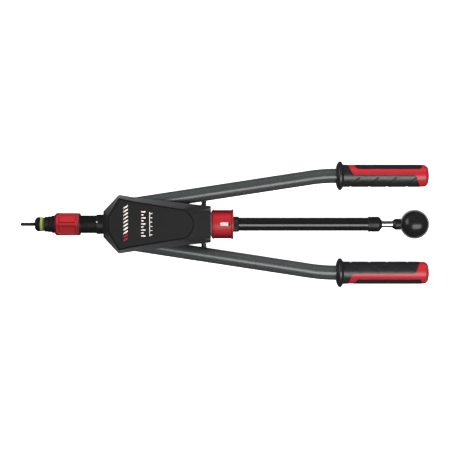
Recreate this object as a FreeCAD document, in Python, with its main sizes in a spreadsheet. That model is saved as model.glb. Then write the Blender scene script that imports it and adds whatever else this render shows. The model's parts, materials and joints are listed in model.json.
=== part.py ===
import FreeCAD, Part
import math
import operator
import os

import Sketcher
from FreeCAD import Placement, Rotation, Vector

# A two-handed lever tool that sets blind rivet nuts, lying flat with its nose towards -X.
# Origin: on the tool's axis, at the face of the anvil. +X runs back to the grips, +Z is up.
# Closing the levers turns two toothed sectors, which push the rack, barrel and anvil forward
# while the mandrel stays where it is. Pushing the ball knob drives a twisted rod through a nut
# on the spindle, which spins the mandrel.

# ---------------------------------------------------------------- driving dimensions, in mm and degrees
DIMENSIONS = {
    # mandrel and spindle
    "mandrel_reach": 20.0,  # how far the mandrel stands out of the anvil
    "mandrel_lead": 3.0,
    "mandrel_radius": 2.5,
    "mandrel_tip_radius": 1.8,
    "mandrel_shank_radius": 3.0,
    "mandrel_head_front": 44.2,
    "mandrel_head_length": 7.6,
    "mandrel_head_flats": 9.9,
    "spindle_front": 38.0,
    "spindle_radius": 7.0,
    "spindle_bore": 4.7,
    "spindle_rear": 262.0,
    "retainer_length": 6.0,  # the plug that holds the mandrel's head in the spindle
    "socket_radius": 5.9,
    "socket_depth": 13.9,
    "twist_nut_length": 12.0,
    "running_gap": 0.05,
    # nose
    "anvil_face_radius": 6.4,
    "anvil_radius": 9.9,
    "anvil_cone": 3.4,
    "anvil_head": 7.2,
    "anvil_length": 24.0,
    "anvil_hole": 3.1,
    "anvil_neck": 6.5,
    "size_ring_width": 6.2,
    "size_ring_inner": 8.2,
    "holder_radius": 10.4,
    "holder_step_radius": 10.8,
    "holder_flange_radius": 12.0,
    "holder_step": 18.2,
    "holder_flange": 23.2,
    "holder_thread_radius": 9.5,
    "holder_rear": 52.0,
    "collar_front": 27.2,
    "collar_rear": 61.8,
    "collar_flats": 30.8,
    "collar_lip": 3.0,
    "barrel_front": 36.0,
    "barrel_radius": 12.1,
    "barrel_bore": 7.2,
    "barrel_shoulder": 98.0,
    "barrel_rear": 110.0,
    "barrel_spigot": 9.0,
    # lever drive
    "pivot_x": 117.0,
    "pivot_y": 24.0,
    "gear_module": 2.0,
    "gear_teeth": 11.0,
    "gear_clearance": 0.3,
    "gear_backlash": 0.1,
    "rack_front": 104.2,
    "rack_block_rear": 132.0,
    "rack_half_height": 12.5,
    "rack_tube_radius": 11.0,
    "rack_rear": 222.0,
    "lever_angle": 8.7,
    "lever_thickness": 20.0,
    "lever_tube_radius": 10.0,
    "lever_tube_wall": 2.0,
    "lever_tube_start": 22.0,
    "bend_x": 394.0,
    "bend_radius": 230.0,
    "pin_radius": 5.0,
    "roll_pin_radius": 2.0,
    "roll_pin_reach": 40.0,
    "bush_radius": 6.5,
    # grips
    "grip_front": 412.5,
    "grip_body": 421.4,
    "grip_rear": 539.4,
    "grip_radius": 15.4,
    "grip_core_radius": 13.0,
    "guard_radius": 20.0,
    # frame and housing
    "plate_inner": 13.0,
    "plate_thickness": 4.0,
    "frame_screw_y": 12.8,
    "guide_front": 83.8,
    "guide_radius": 13.4,
    "guide_block_front": 97.5,
    "guide_block_rear": 103.8,
    "guide_block_half": 15.2,
    "bush_block_front": 205.0,
    "bush_block_rear": 214.0,
    "bush_block_half": 16.0,
    "shell_front": 94.6,
    "shell_rear": 240.7,
    "shell_side": 17.0,  # height of the upright side wall
    "shell_top": 22.5,
    "shell_slot": 11.2,
    "panel_top": 24.0,
    # rear bush, stroke ring and thrust bearing
    "rear_bush_radius": 15.0,
    "rear_bush_rear": 268.5,
    "rear_web_front": 244.0,
    "bearing_front": 250.0,
    "bearing_radius": 11.5,
    "race_thickness": 1.5,
    "ball_radius": 1.6,
    "ring_front": 241.8,
    "ring_rear": 271.7,
    "ring_radius": 19.5,
    "ring_flange_radius": 20.5,
    "ring_bore": 16.9,
    "key_radius": 17.85,
    "ring_window_front": 253.3,
    "ring_window_length": 14.0,
    "ring_window_width": 5.6,
    "stop_front": 236.0,
    "stop_washer": 5.0,
    "stop_pin_radius": 1.8,
    "stop_travel": 4.0,
    "stop_nut_rear": 264.9,
    # guide tube and knob
    "tube_nut_front": 271.9,
    "tube_nut_rear": 279.3,
    "tube_nut_radius": 10.5,
    "tube_radius": 8.7,
    "tube_bore": 7.2,
    "tube_front": 264.0,
    "cap_front": 456.1,
    "cap_shoulder": 470.7,
    "cap_rear": 475.2,
    "cap_radius": 10.35,
    "rod_radius": 4.45,
    "rod_front": 136.0,
    "twist_lead": 15.0,
    "twist_groove": 1.2,
    "twist_nut_gap": 0.15,
    "twist_pin_radius": 0.8,
    "twist_pin_depth": 0.6,
    "knob_collar_front": 489.7,
    "knob_collar_rear": 501.3,
    "knob_collar_radius": 7.5,
    "knob_radius": 20.0,
    "knob_face_radius": 6.8,  # the flat that meets the collar
    "knob_bore_depth": 16.0,
    "knob_stud_radius": 3.9,
}

doc = FreeCAD.newDocument("RivetNutTool")
sheet = doc.addObject("Spreadsheet::Sheet", "Dims")
for row, (alias, number) in enumerate(DIMENSIONS.items(), start=1):
    sheet.set(f"A{row}", alias)
    sheet.set(f"B{row}", str(number))
    sheet.setAlias(f"B{row}", alias)
doc.recompute()


class Size:
    """A number worked out from the sheet: its value now and the expression that keeps it live."""

    def __init__(self, value, text):
        self.value = value
        self.text = text

    def _join(self, sign, function, other, swap=False):
        if not isinstance(other, Size):
            other = Size(float(other), repr(float(other)))
        left, right = (other, self) if swap else (self, other)
        return Size(function(left.value, right.value), f"({left.text} {sign} {right.text})")

    def __add__(self, other):
        return self._join("+", operator.add, other)

    def __radd__(self, other):
        return self._join("+", operator.add, other, swap=True)

    def __sub__(self, other):
        return self._join("-", operator.sub, other)

    def __rsub__(self, other):
        return self._join("-", operator.sub, other, swap=True)

    def __mul__(self, other):
        return self._join("*", operator.mul, other)

    def __rmul__(self, other):
        return self._join("*", operator.mul, other, swap=True)

    def __truediv__(self, other):
        return self._join("/", operator.truediv, other)

    def __neg__(self):
        return -1.0 * self


def trig(name, angle):
    """sin, cos or tan of a Size in degrees."""
    function = {"sin": math.sin, "cos": math.cos, "tan": math.tan}[name]
    return Size(function(math.radians(angle.value)), f"{name}({angle.text} * 1 deg)")


class Sheet:
    """d.alias is the Size of that cell."""

    def __getattr__(self, alias):
        return Size(DIMENSIONS[alias], f"Dims.{alias}")


d = Sheet()
PIECES = []


def number(size):
    return size.value if isinstance(size, Size) else float(size)


def bind(thing, path, size):
    """Ties a property of a document object to the sheet."""
    if isinstance(size, Size):
        thing.setExpression(path, size.text)
    else:
        thing.setExpression(path, repr(float(size)))


# ---------------------------------------------------------------- sketch and feature helpers
def piece(label, kind="PartDesign::Body"):
    """A sub-part: its Label names its file."""
    made = doc.addObject(kind, label)
    made.Label = label
    PIECES.append(made)
    return made


def place(made, x=0, y=0, z=0, turn=None):
    """Puts a sub-part at x, y, z, turned about Z by the Size turn."""
    for axis, size in (("x", x), ("y", y), ("z", z)):
        if isinstance(size, Size) or size:
            bind(made, f"Placement.Base.{axis}", size)
    if turn is not None:
        made.Placement = Placement(Vector(), Rotation(Vector(0, 0, 1), number(turn)))
        bind(made, "Placement.Rotation.Angle", turn)
    return made


def new_sketch(body, plane="XY_Plane", offset=0):
    """An empty sketch on one of the body's origin planes, moved along its normal by offset."""
    sketch = body.newObject("Sketcher::SketchObject", "Sketch")
    support = next(f for f in body.Origin.OriginFeatures if f.Role == plane)
    sketch.AttachmentSupport = [(support, "")]
    sketch.MapMode = "FlatFace"
    if isinstance(offset, Size) or offset:
        bind(sketch, "AttachmentOffset.Base.z", offset)
    return sketch


def fix_point(sketch, edge, end, x, y):
    """Holds one sketch point at x, y from the sketch's origin."""
    for kind, axis, size in (("DistanceX", -2, x), ("DistanceY", -1, y)):
        if abs(number(size)) < 1e-9:
            sketch.addConstraint(Sketcher.Constraint("PointOnObject", edge, end, axis))
            continue
        index = sketch.addConstraint(Sketcher.Constraint(kind, -1, 1, edge, end, number(size)))
        if isinstance(size, Size):
            bind(sketch, f"Constraints[{index}]", size)


def arc_between(start, end, radius):
    """The shorter arc from start to end; a positive radius runs anticlockwise, a negative one clockwise."""
    middle, chord = (start + end) * 0.5, end - start
    rise = math.sqrt(max(radius * radius - chord.Length**2 / 4, 0.0))
    side = Vector(-chord.y, chord.x, 0).normalize()
    centre = middle + side * math.copysign(rise, radius)
    first, last = (start, end) if radius > 0 else (end, start)
    angles = [math.atan2(p.y - centre.y, p.x - centre.x) for p in (first, last)]
    if angles[1] < angles[0]:
        angles[1] += 2 * math.pi
    return Part.ArcOfCircle(Part.Circle(centre, Vector(0, 0, 1), abs(radius)), *angles)


def outline(sketch, corners, arcs=None, closed=True):
    """Joins corners with lines, or with an arc of radius arcs[i] from corner i to the next."""
    arcs = arcs or {}
    points = [Vector(number(x), number(y), 0) for x, y in corners]
    edges = len(points) if closed else len(points) - 1
    base = sketch.GeometryCount
    ends = []
    for i in range(edges):
        start, end = points[i], points[(i + 1) % len(points)]
        if i in arcs:
            sketch.addGeometry(arc_between(start, end, number(arcs[i])), False)
            ends.append((1, 2) if number(arcs[i]) > 0 else (2, 1))
        else:
            sketch.addGeometry(Part.LineSegment(start, end), False)
            ends.append((1, 2))
    for i in range(edges if closed else edges - 1):
        following = (i + 1) % edges
        joint = (base + i, ends[i][1], base + following, ends[following][0])
        sketch.addConstraint(Sketcher.Constraint("Coincident", *joint))
    for i in range(edges):
        fix_point(sketch, base + i, ends[i][0], *corners[i])
    if not closed:
        fix_point(sketch, base + edges - 1, ends[-1][1], *corners[-1])
    for i, radius in arcs.items():
        index = sketch.addConstraint(Sketcher.Constraint("Radius", base + i, abs(number(radius))))
        if isinstance(radius, Size):
            bind(sketch, f"Constraints[{index}]", radius if radius.value > 0 else -radius)
    return sketch


def circle(sketch, x, y, radius):
    """A full circle in a sketch."""
    centre = Vector(number(x), number(y), 0)
    edge = sketch.addGeometry(Part.Circle(centre, Vector(0, 0, 1), number(radius)), False)
    fix_point(sketch, edge, 3, x, y)
    index = sketch.addConstraint(Sketcher.Constraint("Radius", edge, number(radius)))
    if isinstance(radius, Size):
        bind(sketch, f"Constraints[{index}]", radius)
    return sketch


def mirrored_corners(half):
    """A closed outline symmetric about the X axis, from its half with y above 0."""
    return list(half) + [(x, -y) for x, y in reversed(half)]


def revolve(body, corners, arcs=None, cut=False, angle=360):
    """Turns an outline of (x, radius) corners about the X axis."""
    sketch = outline(new_sketch(body), corners, arcs)
    made = body.newObject("PartDesign::Groove" if cut else "PartDesign::Revolution", "Turned")
    made.Profile = sketch
    made.ReferenceAxis = (sketch, ["H_Axis"])
    made.Angle = angle
    return made


def turned(label, corners, x=0, arcs=None):
    """A sub-part of its own that is turned about the tool's axis, with its front at x."""
    body = piece(label)
    revolve(body, corners, arcs)
    return place(body, x)


def ring_corners(length, inner, outer, edge=0.0):
    """A plain ring from x = 0 to length, with its outer corners bevelled by edge."""
    if number(edge) == 0:
        return [(0, inner), (0, outer), (length, outer), (length, inner)]
    return [(0, inner), (0, outer - edge), (edge, outer), (length - edge, outer), (length, outer - edge),
            (length, inner)]


def pad(body, sketch, length, down=False, both=False):
    """Extrudes a sketch along its normal, against it, or half each way."""
    made = body.newObject("PartDesign::Pad", "Pad")
    made.Profile = sketch
    bind(made, "Length", length)
    made.Reversed = down
    if both:
        made.SideType = "Symmetric"
    return made


def pocket(body, sketch, length, up=False, both=False):
    """Cuts a sketch against its normal, along it, or half each way."""
    made = body.newObject("PartDesign::Pocket", "Pocket")
    made.Profile = sketch
    bind(made, "Length", length)
    made.Reversed = up
    if both:
        made.SideType = "Symmetric"
    return made


def dress(body, kind, size, wanted):
    """A Fillet or Chamfer on the edges of the body so far for which wanted(edge) is true."""
    doc.recompute()
    base = body.Tip
    names = [f"Edge{i}" for i, edge in enumerate(base.Shape.Edges, start=1) if wanted(edge)]
    if not names:
        raise ValueError(f"{body.Label}: no edge to dress")
    made = body.newObject(f"PartDesign::{kind}", kind)
    made.Base = (base, names)
    bind(made, "Radius" if kind == "Fillet" else "Size", size)
    return made


def bore(body, x0, x1, radius):
    """Cuts a round hole about the X axis from x0 to x1."""
    return revolve(body, [(x0, 0), (x0, radius), (x1, radius), (x1, 0)], cut=True)


def cylinder(name, radius, height, x=0, y=0, z=0, axis=Vector(0, 0, 1)):
    """A Part cylinder from x, y, z along axis."""
    made = doc.addObject("Part::Cylinder", name)
    bind(made, "Radius", radius)
    bind(made, "Height", height)
    made.Placement = Placement(Vector(), Rotation(Vector(0, 0, 1), axis))
    for letter, size in (("x", x), ("y", y), ("z", z)):
        bind(made, f"Placement.Base.{letter}", size)
    return made


def washer(name, inner, outer, height, x=0, y=0, z=0, axis=Vector(0, 0, 1)):
    """A Part ring: one cylinder cut from another."""
    made = doc.addObject("Part::Cut", name)
    made.Base = cylinder(name + "_outer", outer, height, x, y, z, axis)
    made.Tool = cylinder(name + "_hole", inner, height, x, y, z, axis)
    return made


def group(label, members):
    """Several separate solids that share one file."""
    made = piece(label, "Part::Compound")
    made.Links = members
    return made


SIDES = (("right", 1), ("left", -1))  # the user's right hand holds the lever on +Y
HALVES = (("upper", 1), ("lower", -1))

# ---------------------------------------------------------------- worked-out sizes
pitch_radius = d.gear_module * d.gear_teeth / 2
rack_line = d.pivot_y - pitch_radius
rack_pitch = math.pi * d.gear_module
PRESSURE_ANGLE = math.radians(25.0)  # steep enough for eleven teeth without undercut
plate_outer = d.plate_inner + d.plate_thickness
grip_y = d.pivot_y + (d.bend_x - d.pivot_x) * trig("tan", d.lever_angle)
SCREW_PLACES = ((101.0, 18.8), (170.0, 15.6), (222.0, 20.0))  # housing screws: x and half distance apart
FRAME_SCREWS_X = (101.0, 209.5)
FRAME_SCREW_RADIUS = 1.5
BOSS_RADIUS = 3.2


# ---------------------------------------------------------------- nose: slides on the guide
def make_nose():
    anvil_ring = d.anvil_head + d.size_ring_width
    turned("anvil", [
        (0, d.anvil_hole), (0, d.anvil_face_radius), (d.anvil_cone, d.anvil_radius),
        (d.anvil_head, d.anvil_radius), (d.anvil_head, d.size_ring_inner), (anvil_ring, d.size_ring_inner),
        (anvil_ring, d.anvil_neck), (d.anvil_length, d.anvil_neck), (d.anvil_length, d.anvil_hole)])
    ring = ring_corners(d.size_ring_width, d.size_ring_inner, d.anvil_radius - 0.1)
    size_ring = turned("size_ring", ring, d.anvil_head)
    dress(size_ring, "Fillet", 0.9, lambda edge: edge.BoundBox.YMax > d.anvil_radius.value - 0.5)
    turned("nose_holder", [
        (anvil_ring, d.anvil_neck), (anvil_ring, d.holder_radius), (d.holder_step - 0.4, d.holder_radius),
        (d.holder_step, d.holder_step_radius), (d.holder_flange - 1.0, d.holder_step_radius),
        (d.holder_flange, d.holder_flange_radius - 0.5), (d.holder_flange + 0.5, d.holder_flange_radius),
        (d.collar_front - 0.2, d.holder_flange_radius), (d.collar_front - 0.2, d.holder_thread_radius),
        (d.holder_rear, d.holder_thread_radius), (d.holder_rear, d.barrel_bore),
        (d.anvil_length + 0.5, d.barrel_bore), (d.anvil_length + 0.5, d.anvil_neck)])
    turned("barrel", [
        (d.barrel_front, d.holder_thread_radius), (d.barrel_front, d.barrel_radius - 0.8),
        (d.barrel_front + 0.8, d.barrel_radius), (d.barrel_shoulder, d.barrel_radius),
        (d.barrel_shoulder, d.barrel_spigot), (d.barrel_rear, d.barrel_spigot),
        (d.barrel_rear, d.barrel_bore), (d.holder_rear + 1, d.barrel_bore),
        (d.holder_rear + 1, d.holder_thread_radius)])
    make_rack()


def make_rack():
    """A block with straight teeth on both flanks, and a tube behind it that slides in the rear bush."""
    half = [(d.rack_front, d.pivot_y - pitch_radius + d.gear_module)]
    slope = math.tan(PRESSURE_ANGLE)
    tip, root = rack_line + d.gear_module, rack_line - d.gear_module - d.gear_clearance
    space = rack_pitch / 2 + d.gear_backlash  # width of a tooth space on the pitch line
    for step in (-1.5, -0.5, 0.5, 1.5):
        middle = d.pivot_x + step * rack_pitch
        for side, level in ((-1, tip), (-1, root), (1, root), (1, tip)):
            rise = 1 if level is tip else -1
            depth = d.gear_module if level is tip else d.gear_module + d.gear_clearance
            half.append((middle + side * (space / 2 + rise * slope * depth), level))
    half.append((d.rack_block_rear, tip))
    body = piece("rack_sleeve")
    pad(body, outline(new_sketch(body), mirrored_corners(half)), 2 * d.rack_half_height, both=True)
    revolve(body, [(d.rack_block_rear - 1, 0), (d.rack_block_rear - 1, d.rack_tube_radius),
                   (d.rack_rear, d.rack_tube_radius), (d.rack_rear, 0)])
    bore(body, d.rack_front - 1, d.barrel_rear + 0.2, d.barrel_spigot)
    bore(body, d.barrel_rear, d.rack_rear + 1, d.barrel_bore)


def make_lock_collar():
    """Red hexagonal collar that locks the nose holder in the barrel, and the wiper it carries."""
    length = d.collar_rear - d.collar_front
    body = piece("lock_collar")
    across = d.collar_flats / math.cos(math.radians(30)) / 2
    corners = [(across * math.cos(math.radians(a)), across * math.sin(math.radians(a)))
               for a in range(30, 390, 60)]
    pad(body, outline(new_sketch(body, "YZ_Plane"), corners), length)
    face, far = d.collar_flats / 2 - 3.0, across + 1
    revolve(body, [(0, face), (5.5, far), (-1, far), (-1, face)], cut=True)  # coned front corners
    revolve(body, [(length, d.collar_flats / 2 + 0.2), (length + 1, d.collar_flats / 2 + 0.2),
                   (length + 1, far), (length - 2.2, far)], cut=True)
    bore(body, -1, length + 1, d.holder_thread_radius + 0.2)
    bore(body, d.collar_lip, length + 1, d.barrel_radius + 0.15)
    bore(body, length - 2.6, length + 1, 13.6)
    # a shallow thumb recess in every flat
    recess = new_sketch(body, "XZ_Plane", d.collar_flats / 2 - 0.6)
    outline(recess, [(8.5, -4.2), (length - 9.5, -4.2), (length - 9.5, 4.2), (8.5, 4.2)])
    cut = pocket(body, recess, 3.0, up=True)
    pattern = body.newObject("PartDesign::PolarPattern", "Flats")
    pattern.Originals = [cut]
    axis = next(f for f in body.Origin.OriginFeatures if f.Role == "X_Axis")
    pattern.Axis = (axis, [""])
    pattern.Angle = 360
    pattern.Occurrences = 6
    body.Tip = pattern
    place(body, d.collar_front)
    wiper = ring_corners(3.4, d.barrel_radius + d.running_gap, 13.4, 0.4)
    turned("collar_wiper", wiper, d.collar_rear - 2.5)


# ---------------------------------------------------------------- spindle: spins inside the nose
def make_spindle():
    turned("mandrel", [
        (-d.mandrel_reach, 0), (-d.mandrel_reach, d.mandrel_tip_radius),
        (d.mandrel_lead - d.mandrel_reach, d.mandrel_radius), (0, d.mandrel_radius),
        (0, d.mandrel_shank_radius), (d.mandrel_head_front, d.mandrel_shank_radius),
        (d.mandrel_head_front, 0)])
    mandrel = PIECES[-1]
    add_hexagon(mandrel, d.mandrel_head_front, d.mandrel_head_length, d.mandrel_head_flats)
    turned("mandrel_retainer", ring_corners(
        d.retainer_length, d.mandrel_shank_radius + 0.1, d.socket_radius), d.spindle_front)
    spindle = piece("spindle")
    length = d.spindle_rear - d.spindle_front
    revolve(spindle, [(0, 0), (0, d.spindle_radius - 0.5), (0.5, d.spindle_radius),
                      (length, d.spindle_radius), (length, 0)])
    hexagon_front = d.retainer_length - 0.1
    bore(spindle, -1, d.retainer_length, d.socket_radius)
    bore(spindle, d.socket_depth, length + 1, d.spindle_bore)
    bore(spindle, length - d.twist_nut_length, length + 1, d.socket_radius)
    add_hexagon(spindle, hexagon_front, d.socket_depth + 0.1 - hexagon_front,
                d.mandrel_head_flats + 0.1, cut=True)
    place(spindle, d.spindle_front)
    nut = turned("twist_nut", ring_corners(
        d.twist_nut_length, d.rod_radius + d.twist_nut_gap, d.socket_radius),
        d.spindle_rear - d.twist_nut_length)
    pins_x = d.spindle_rear - d.twist_nut_length / 2
    for side in (1, -1):  # seats of the two drive pins
        hole = circle(new_sketch(nut, "XZ_Plane"), d.twist_nut_length / 2, 0, d.twist_pin_radius)
        pocket(nut, hole, 7.0, up=side > 0)
    inner = d.rod_radius - d.twist_pin_depth
    group("twist_pins", [
        cylinder(f"twist_pin_{name}", d.twist_pin_radius, d.socket_radius - 0.1 - inner,
                 pins_x, side * inner, 0, Vector(0, side, 0))
        for name, side in SIDES])


def add_hexagon(body, x, length, flats, cut=False):
    """Adds or cuts a hexagonal prism along the X axis, from x."""
    across = flats / math.cos(math.radians(30)) / 2
    corners = [(across * math.cos(math.radians(a)), across * math.sin(math.radians(a)))
               for a in range(0, 360, 60)]
    sketch = outline(new_sketch(body, "YZ_Plane", x), corners)
    return pocket(body, sketch, length, up=True) if cut else pad(body, sketch, length)


# ---------------------------------------------------------------- knob: twisted rod and ball
def make_knob():
    stud = d.knob_collar_rear - 5
    length = stud - d.rod_front
    core = Part.makeCylinder(number(d.rod_radius), number(length), Vector(), Vector(1, 0, 0))
    core = core.makeChamfer(0.8, [core.Edges[0], core.Edges[2]])
    groove_length = number(d.spindle_rear - d.rod_front) + 1.0
    pins_at = number(d.spindle_rear - d.twist_nut_length / 2 - d.rod_front)
    for half_turn in (0, 180):
        core = core.cut(twist_groove(groove_length, pins_at, half_turn))
    end = Part.makeCylinder(number(d.knob_stud_radius), 20.0, Vector(number(length), 0, 0), Vector(1, 0, 0))
    rod = piece("twist_rod", "Part::Feature")
    rod.Shape = core.fuse(end)
    rod.Placement = Placement(Vector(number(d.rod_front), 0, 0), Rotation())
    turned("knob_collar", [
        (0, d.rod_radius), (3.6, d.knob_collar_radius), (d.knob_collar_rear - d.knob_collar_front - 0.5,
                                                         d.knob_collar_radius),
        (d.knob_collar_rear - d.knob_collar_front, d.knob_collar_radius - 0.5),
        (d.knob_collar_rear - d.knob_collar_front, d.knob_stud_radius), (6.6, d.knob_stud_radius),
        (6.6, d.rod_radius)], d.knob_collar_front)
    flat = DIMENSIONS["knob_face_radius"]
    centre = Size(math.sqrt(number(d.knob_radius) ** 2 - flat**2),
                  "sqrt(Dims.knob_radius^2 - Dims.knob_face_radius^2)")
    ball = piece("ball_knob")
    revolve(ball, [(0, 0), (0, d.knob_face_radius), (centre, d.knob_radius), (centre + d.knob_radius, 0)],
            {1: -d.knob_radius, 2: -d.knob_radius})
    bore(ball, -1, d.knob_bore_depth, d.knob_stud_radius)
    place(ball, d.knob_collar_rear)


def twist_groove(length, pins_at, start_angle):
    """A left-hand helical groove about the X axis that passes the drive pins at pins_at."""
    lead, radius, lead_in = DIMENSIONS["twist_lead"], DIMENSIONS["rod_radius"], 2.0
    helix = Part.makeLongHelix(lead, length + lead_in, radius, 0, True)
    circle_edge = Part.makeCircle(DIMENSIONS["twist_groove"], Vector(radius, 0, 0), Vector(0, -1, 1))
    groove = Part.Wire(helix).makePipeShell([Part.Wire(circle_edge)], True, True)
    groove.translate(Vector(0, 0, -lead_in))
    groove.rotate(Vector(), Vector(0, 0, 1), start_angle + 360 * (pins_at + lead_in) / lead + 90)
    groove.rotate(Vector(), Vector(0, 1, 0), 90)
    return groove


# ---------------------------------------------------------------- levers
def gear_face(sign):
    """Outline of the toothed boss: four involute teeth towards the rack, a round boss elsewhere."""
    pitch = number(pitch_radius)
    module, clearance = DIMENSIONS["gear_module"], DIMENSIONS["gear_clearance"]
    base, tip, root = pitch * math.cos(PRESSURE_ANGLE), pitch + module, pitch - module - clearance
    step = 2 * math.pi / DIMENSIONS["gear_teeth"]
    half_tooth = (math.pi * module / 2 - DIMENSIONS["gear_backlash"]) / 2 / pitch
    involute_at_pitch = math.tan(PRESSURE_ANGLE) - PRESSURE_ANGLE

    def at(radius, angle):
        return Vector(radius * math.cos(angle), sign * radius * math.sin(angle), 0)

    def flank(centre, side):
        """Flank points from the root up to the tip."""
        points = [at(root, centre + side * (half_tooth + involute_at_pitch))]
        for i in range(7):
            radius = base + (tip - base) * i / 6
            spread = math.sqrt((radius / base) ** 2 - 1)
            points.append(at(radius, centre + side * (half_tooth + involute_at_pitch
                                                      - (spread - math.atan(spread)))))
        return points

    edges = []
    boss_radius, boss_start = 11.5, math.radians(-47)
    teeth = [math.radians(-90) + (k + 0.5) * step for k in (-3, -2, -1, 0)]
    last = None
    for centre in teeth:
        rising, falling = flank(centre, -1), flank(centre, 1)[::-1]
        if last is not None:
            edges.append(Part.Arc(last, at(root, centre - step / 2), rising[0]).toShape())
        curve = Part.BSplineCurve()
        curve.interpolate(rising[1:])
        edges += [Part.LineSegment(rising[0], rising[1]).toShape(), curve.toShape()]
        edges.append(Part.Arc(rising[-1], at(tip, centre), falling[0]).toShape())
        curve = Part.BSplineCurve()
        curve.interpolate(falling[:-1])
        edges += [curve.toShape(), Part.LineSegment(falling[-2], falling[-1]).toShape()]
        last = falling[-1]
        if centre is teeth[0]:
            first = rising[0]
    edges.append(Part.Arc(last, at(root, math.radians(-52)), at(root, boss_start)).toShape())
    edges.append(Part.LineSegment(at(root, boss_start), at(boss_radius, boss_start)).toShape())
    boss_end = teeth[0] - step / 2 + 2 * math.pi
    edges.append(Part.Arc(at(boss_radius, boss_start), at(boss_radius, (boss_start + boss_end) / 2),
                          at(boss_radius, boss_end)).toShape())
    edges.append(Part.LineSegment(at(boss_radius, boss_end), at(root, boss_end)).toShape())
    edges.append(Part.Arc(at(root, boss_end), at(root, boss_end + 0.05), first).toShape())
    return Part.Face(Part.Wire(Part.__sortEdges__(edges)))


def make_lever(name, sign):
    """One lever: toothed head with its bush, bent tube, pin and two-part grip."""
    thickness = number(d.lever_thickness)
    # The teeth lie square to the tool's axis while the arm leans out by lever_angle.
    sector = doc.addObject("Part::Feature", f"{name}_sector")
    sector.Shape = gear_face(sign).extrude(Vector(0, 0, thickness))
    turn = Rotation(Vector(0, 0, 1), -sign * d.lever_angle.value)
    sector.Placement = Placement(Vector(0, 0, -thickness / 2), turn)
    neck = doc.addObject("PartDesign::Body", f"{name}_neck")
    root = pitch_radius - d.gear_module - d.gear_clearance
    pad(neck, outline(new_sketch(neck), [
        (0, -sign * (root - 0.7)), (9.6, -sign * 9.9), (d.lever_tube_start, -sign * d.lever_tube_radius),
        (d.lever_tube_start, sign * d.lever_tube_radius), (9.6, sign * 10.6), (0, sign * 11.4)]),
        d.lever_thickness, both=True)
    shank = cylinder(f"{name}_shank", d.lever_tube_radius - d.lever_tube_wall, 38.0, d.lever_tube_start,
                     axis=Vector(1, 0, 0))
    whole = doc.addObject("Part::MultiFuse", f"{name}_head_whole")
    whole.Shapes = [sector, neck, shank]
    holes = doc.addObject("Part::MultiFuse", f"{name}_head_holes")
    holes.Shapes = [
        cylinder(f"{name}_bush_hole", d.bush_radius, d.lever_thickness, z=-d.lever_thickness / 2),
        cylinder(f"{name}_pin_hole", d.roll_pin_radius, d.lever_thickness, x=d.roll_pin_reach,
                 z=-d.lever_thickness / 2)]
    head = piece(f"{name}_lever_head", "Part::Cut")
    head.Base, head.Tool = whole, holes
    bush = piece(f"{name}_lever_bush", "Part::Cut")
    bush.Base = cylinder(f"{name}_bush_outer", d.bush_radius, d.lever_thickness, z=-d.lever_thickness / 2)
    bush.Tool = cylinder(f"{name}_bush_inner", d.pin_radius + d.running_gap, d.lever_thickness,
                         z=-d.lever_thickness / 2)
    roll_pin = piece(f"{name}_roll_pin", "Part::Cylinder")
    bind(roll_pin, "Radius", d.roll_pin_radius)
    bind(roll_pin, "Height", d.lever_thickness - 1)
    for made in (head, bush):
        place(made, d.pivot_x, sign * d.pivot_y, turn=sign * d.lever_angle)
    place(roll_pin, *roll_pin_centre(sign), -d.lever_thickness / 2 + 0.5)
    make_lever_tube(name, sign)
    make_grip(name, sign)


def roll_pin_centre(sign):
    """Where the pin crosses the lever tube and the shank inside it."""
    return (d.pivot_x + d.roll_pin_reach * trig("cos", d.lever_angle),
            sign * (d.pivot_y + d.roll_pin_reach * trig("sin", d.lever_angle)))


def make_lever_tube(name, sign):
    """Straight tube, a gentle bend, and a straight end inside the grip."""
    body = piece(f"{name}_lever_tube")
    lean = trig("cos", d.lever_angle), sign * trig("sin", d.lever_angle)
    tangent = d.bend_radius * trig("tan", d.lever_angle / 2)
    to_bend = (d.bend_x - d.pivot_x) / trig("cos", d.lever_angle)
    start = d.lever_tube_start
    path = outline(new_sketch(body), [
        (d.pivot_x + start * lean[0], sign * d.pivot_y + start * lean[1]),
        (d.pivot_x + (to_bend - tangent) * lean[0], sign * d.pivot_y + (to_bend - tangent) * lean[1]),
        (d.bend_x + tangent, sign * grip_y), (d.grip_rear - 4, sign * grip_y)],
        {1: -sign * d.bend_radius}, closed=False)
    profile = new_sketch(body, "YZ_Plane", d.grip_rear - 4)
    circle(profile, sign * grip_y, 0, d.lever_tube_radius)
    circle(profile, sign * grip_y, 0, d.lever_tube_radius - d.lever_tube_wall)
    pipe = body.newObject("PartDesign::AdditivePipe", "Pipe")
    pipe.Profile = profile
    pipe.Spine = (path, [])
    pin_x, pin_y = roll_pin_centre(sign)
    hole = circle(new_sketch(body), pin_x, pin_y, d.roll_pin_radius)
    pocket(body, hole, 3 * d.lever_tube_radius, both=True)


def grip_regions(sign):
    """Seen from above: the outer area the red inlay fills, and the black pad set into it."""
    length, wide = d.grip_rear - d.grip_front, d.grip_radius + 2
    outer = [(12.6, wide), (21.0, 3.8), (24.0, 1.2), (length - 18.2, 1.0), (length - 12.9, -wide),
             (length + 1, -wide), (length + 1, wide)]
    pad_area = [(21.6, wide), (29.3, 9.1), (length - 13.0, 9.1), (length - 10.4, 12.0),
                (length - 9.4, wide)]
    return [[(x, sign * y) for x, y in corners] for corners in (outer, pad_area)]


def cutter(name, corners):
    """An upright prism used to divide the materials of a grip."""
    body = doc.addObject("PartDesign::Body", name)
    pad(body, outline(new_sketch(body), corners), 3 * d.grip_radius, both=True)
    return body


def boolean(kind, name, base, tool, label=None):
    """A Part boolean, kept as a sub-part when it is given a label."""
    made = piece(label, kind) if label else doc.addObject(kind, name)
    made.Base, made.Tool = base, tool
    return made


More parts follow.
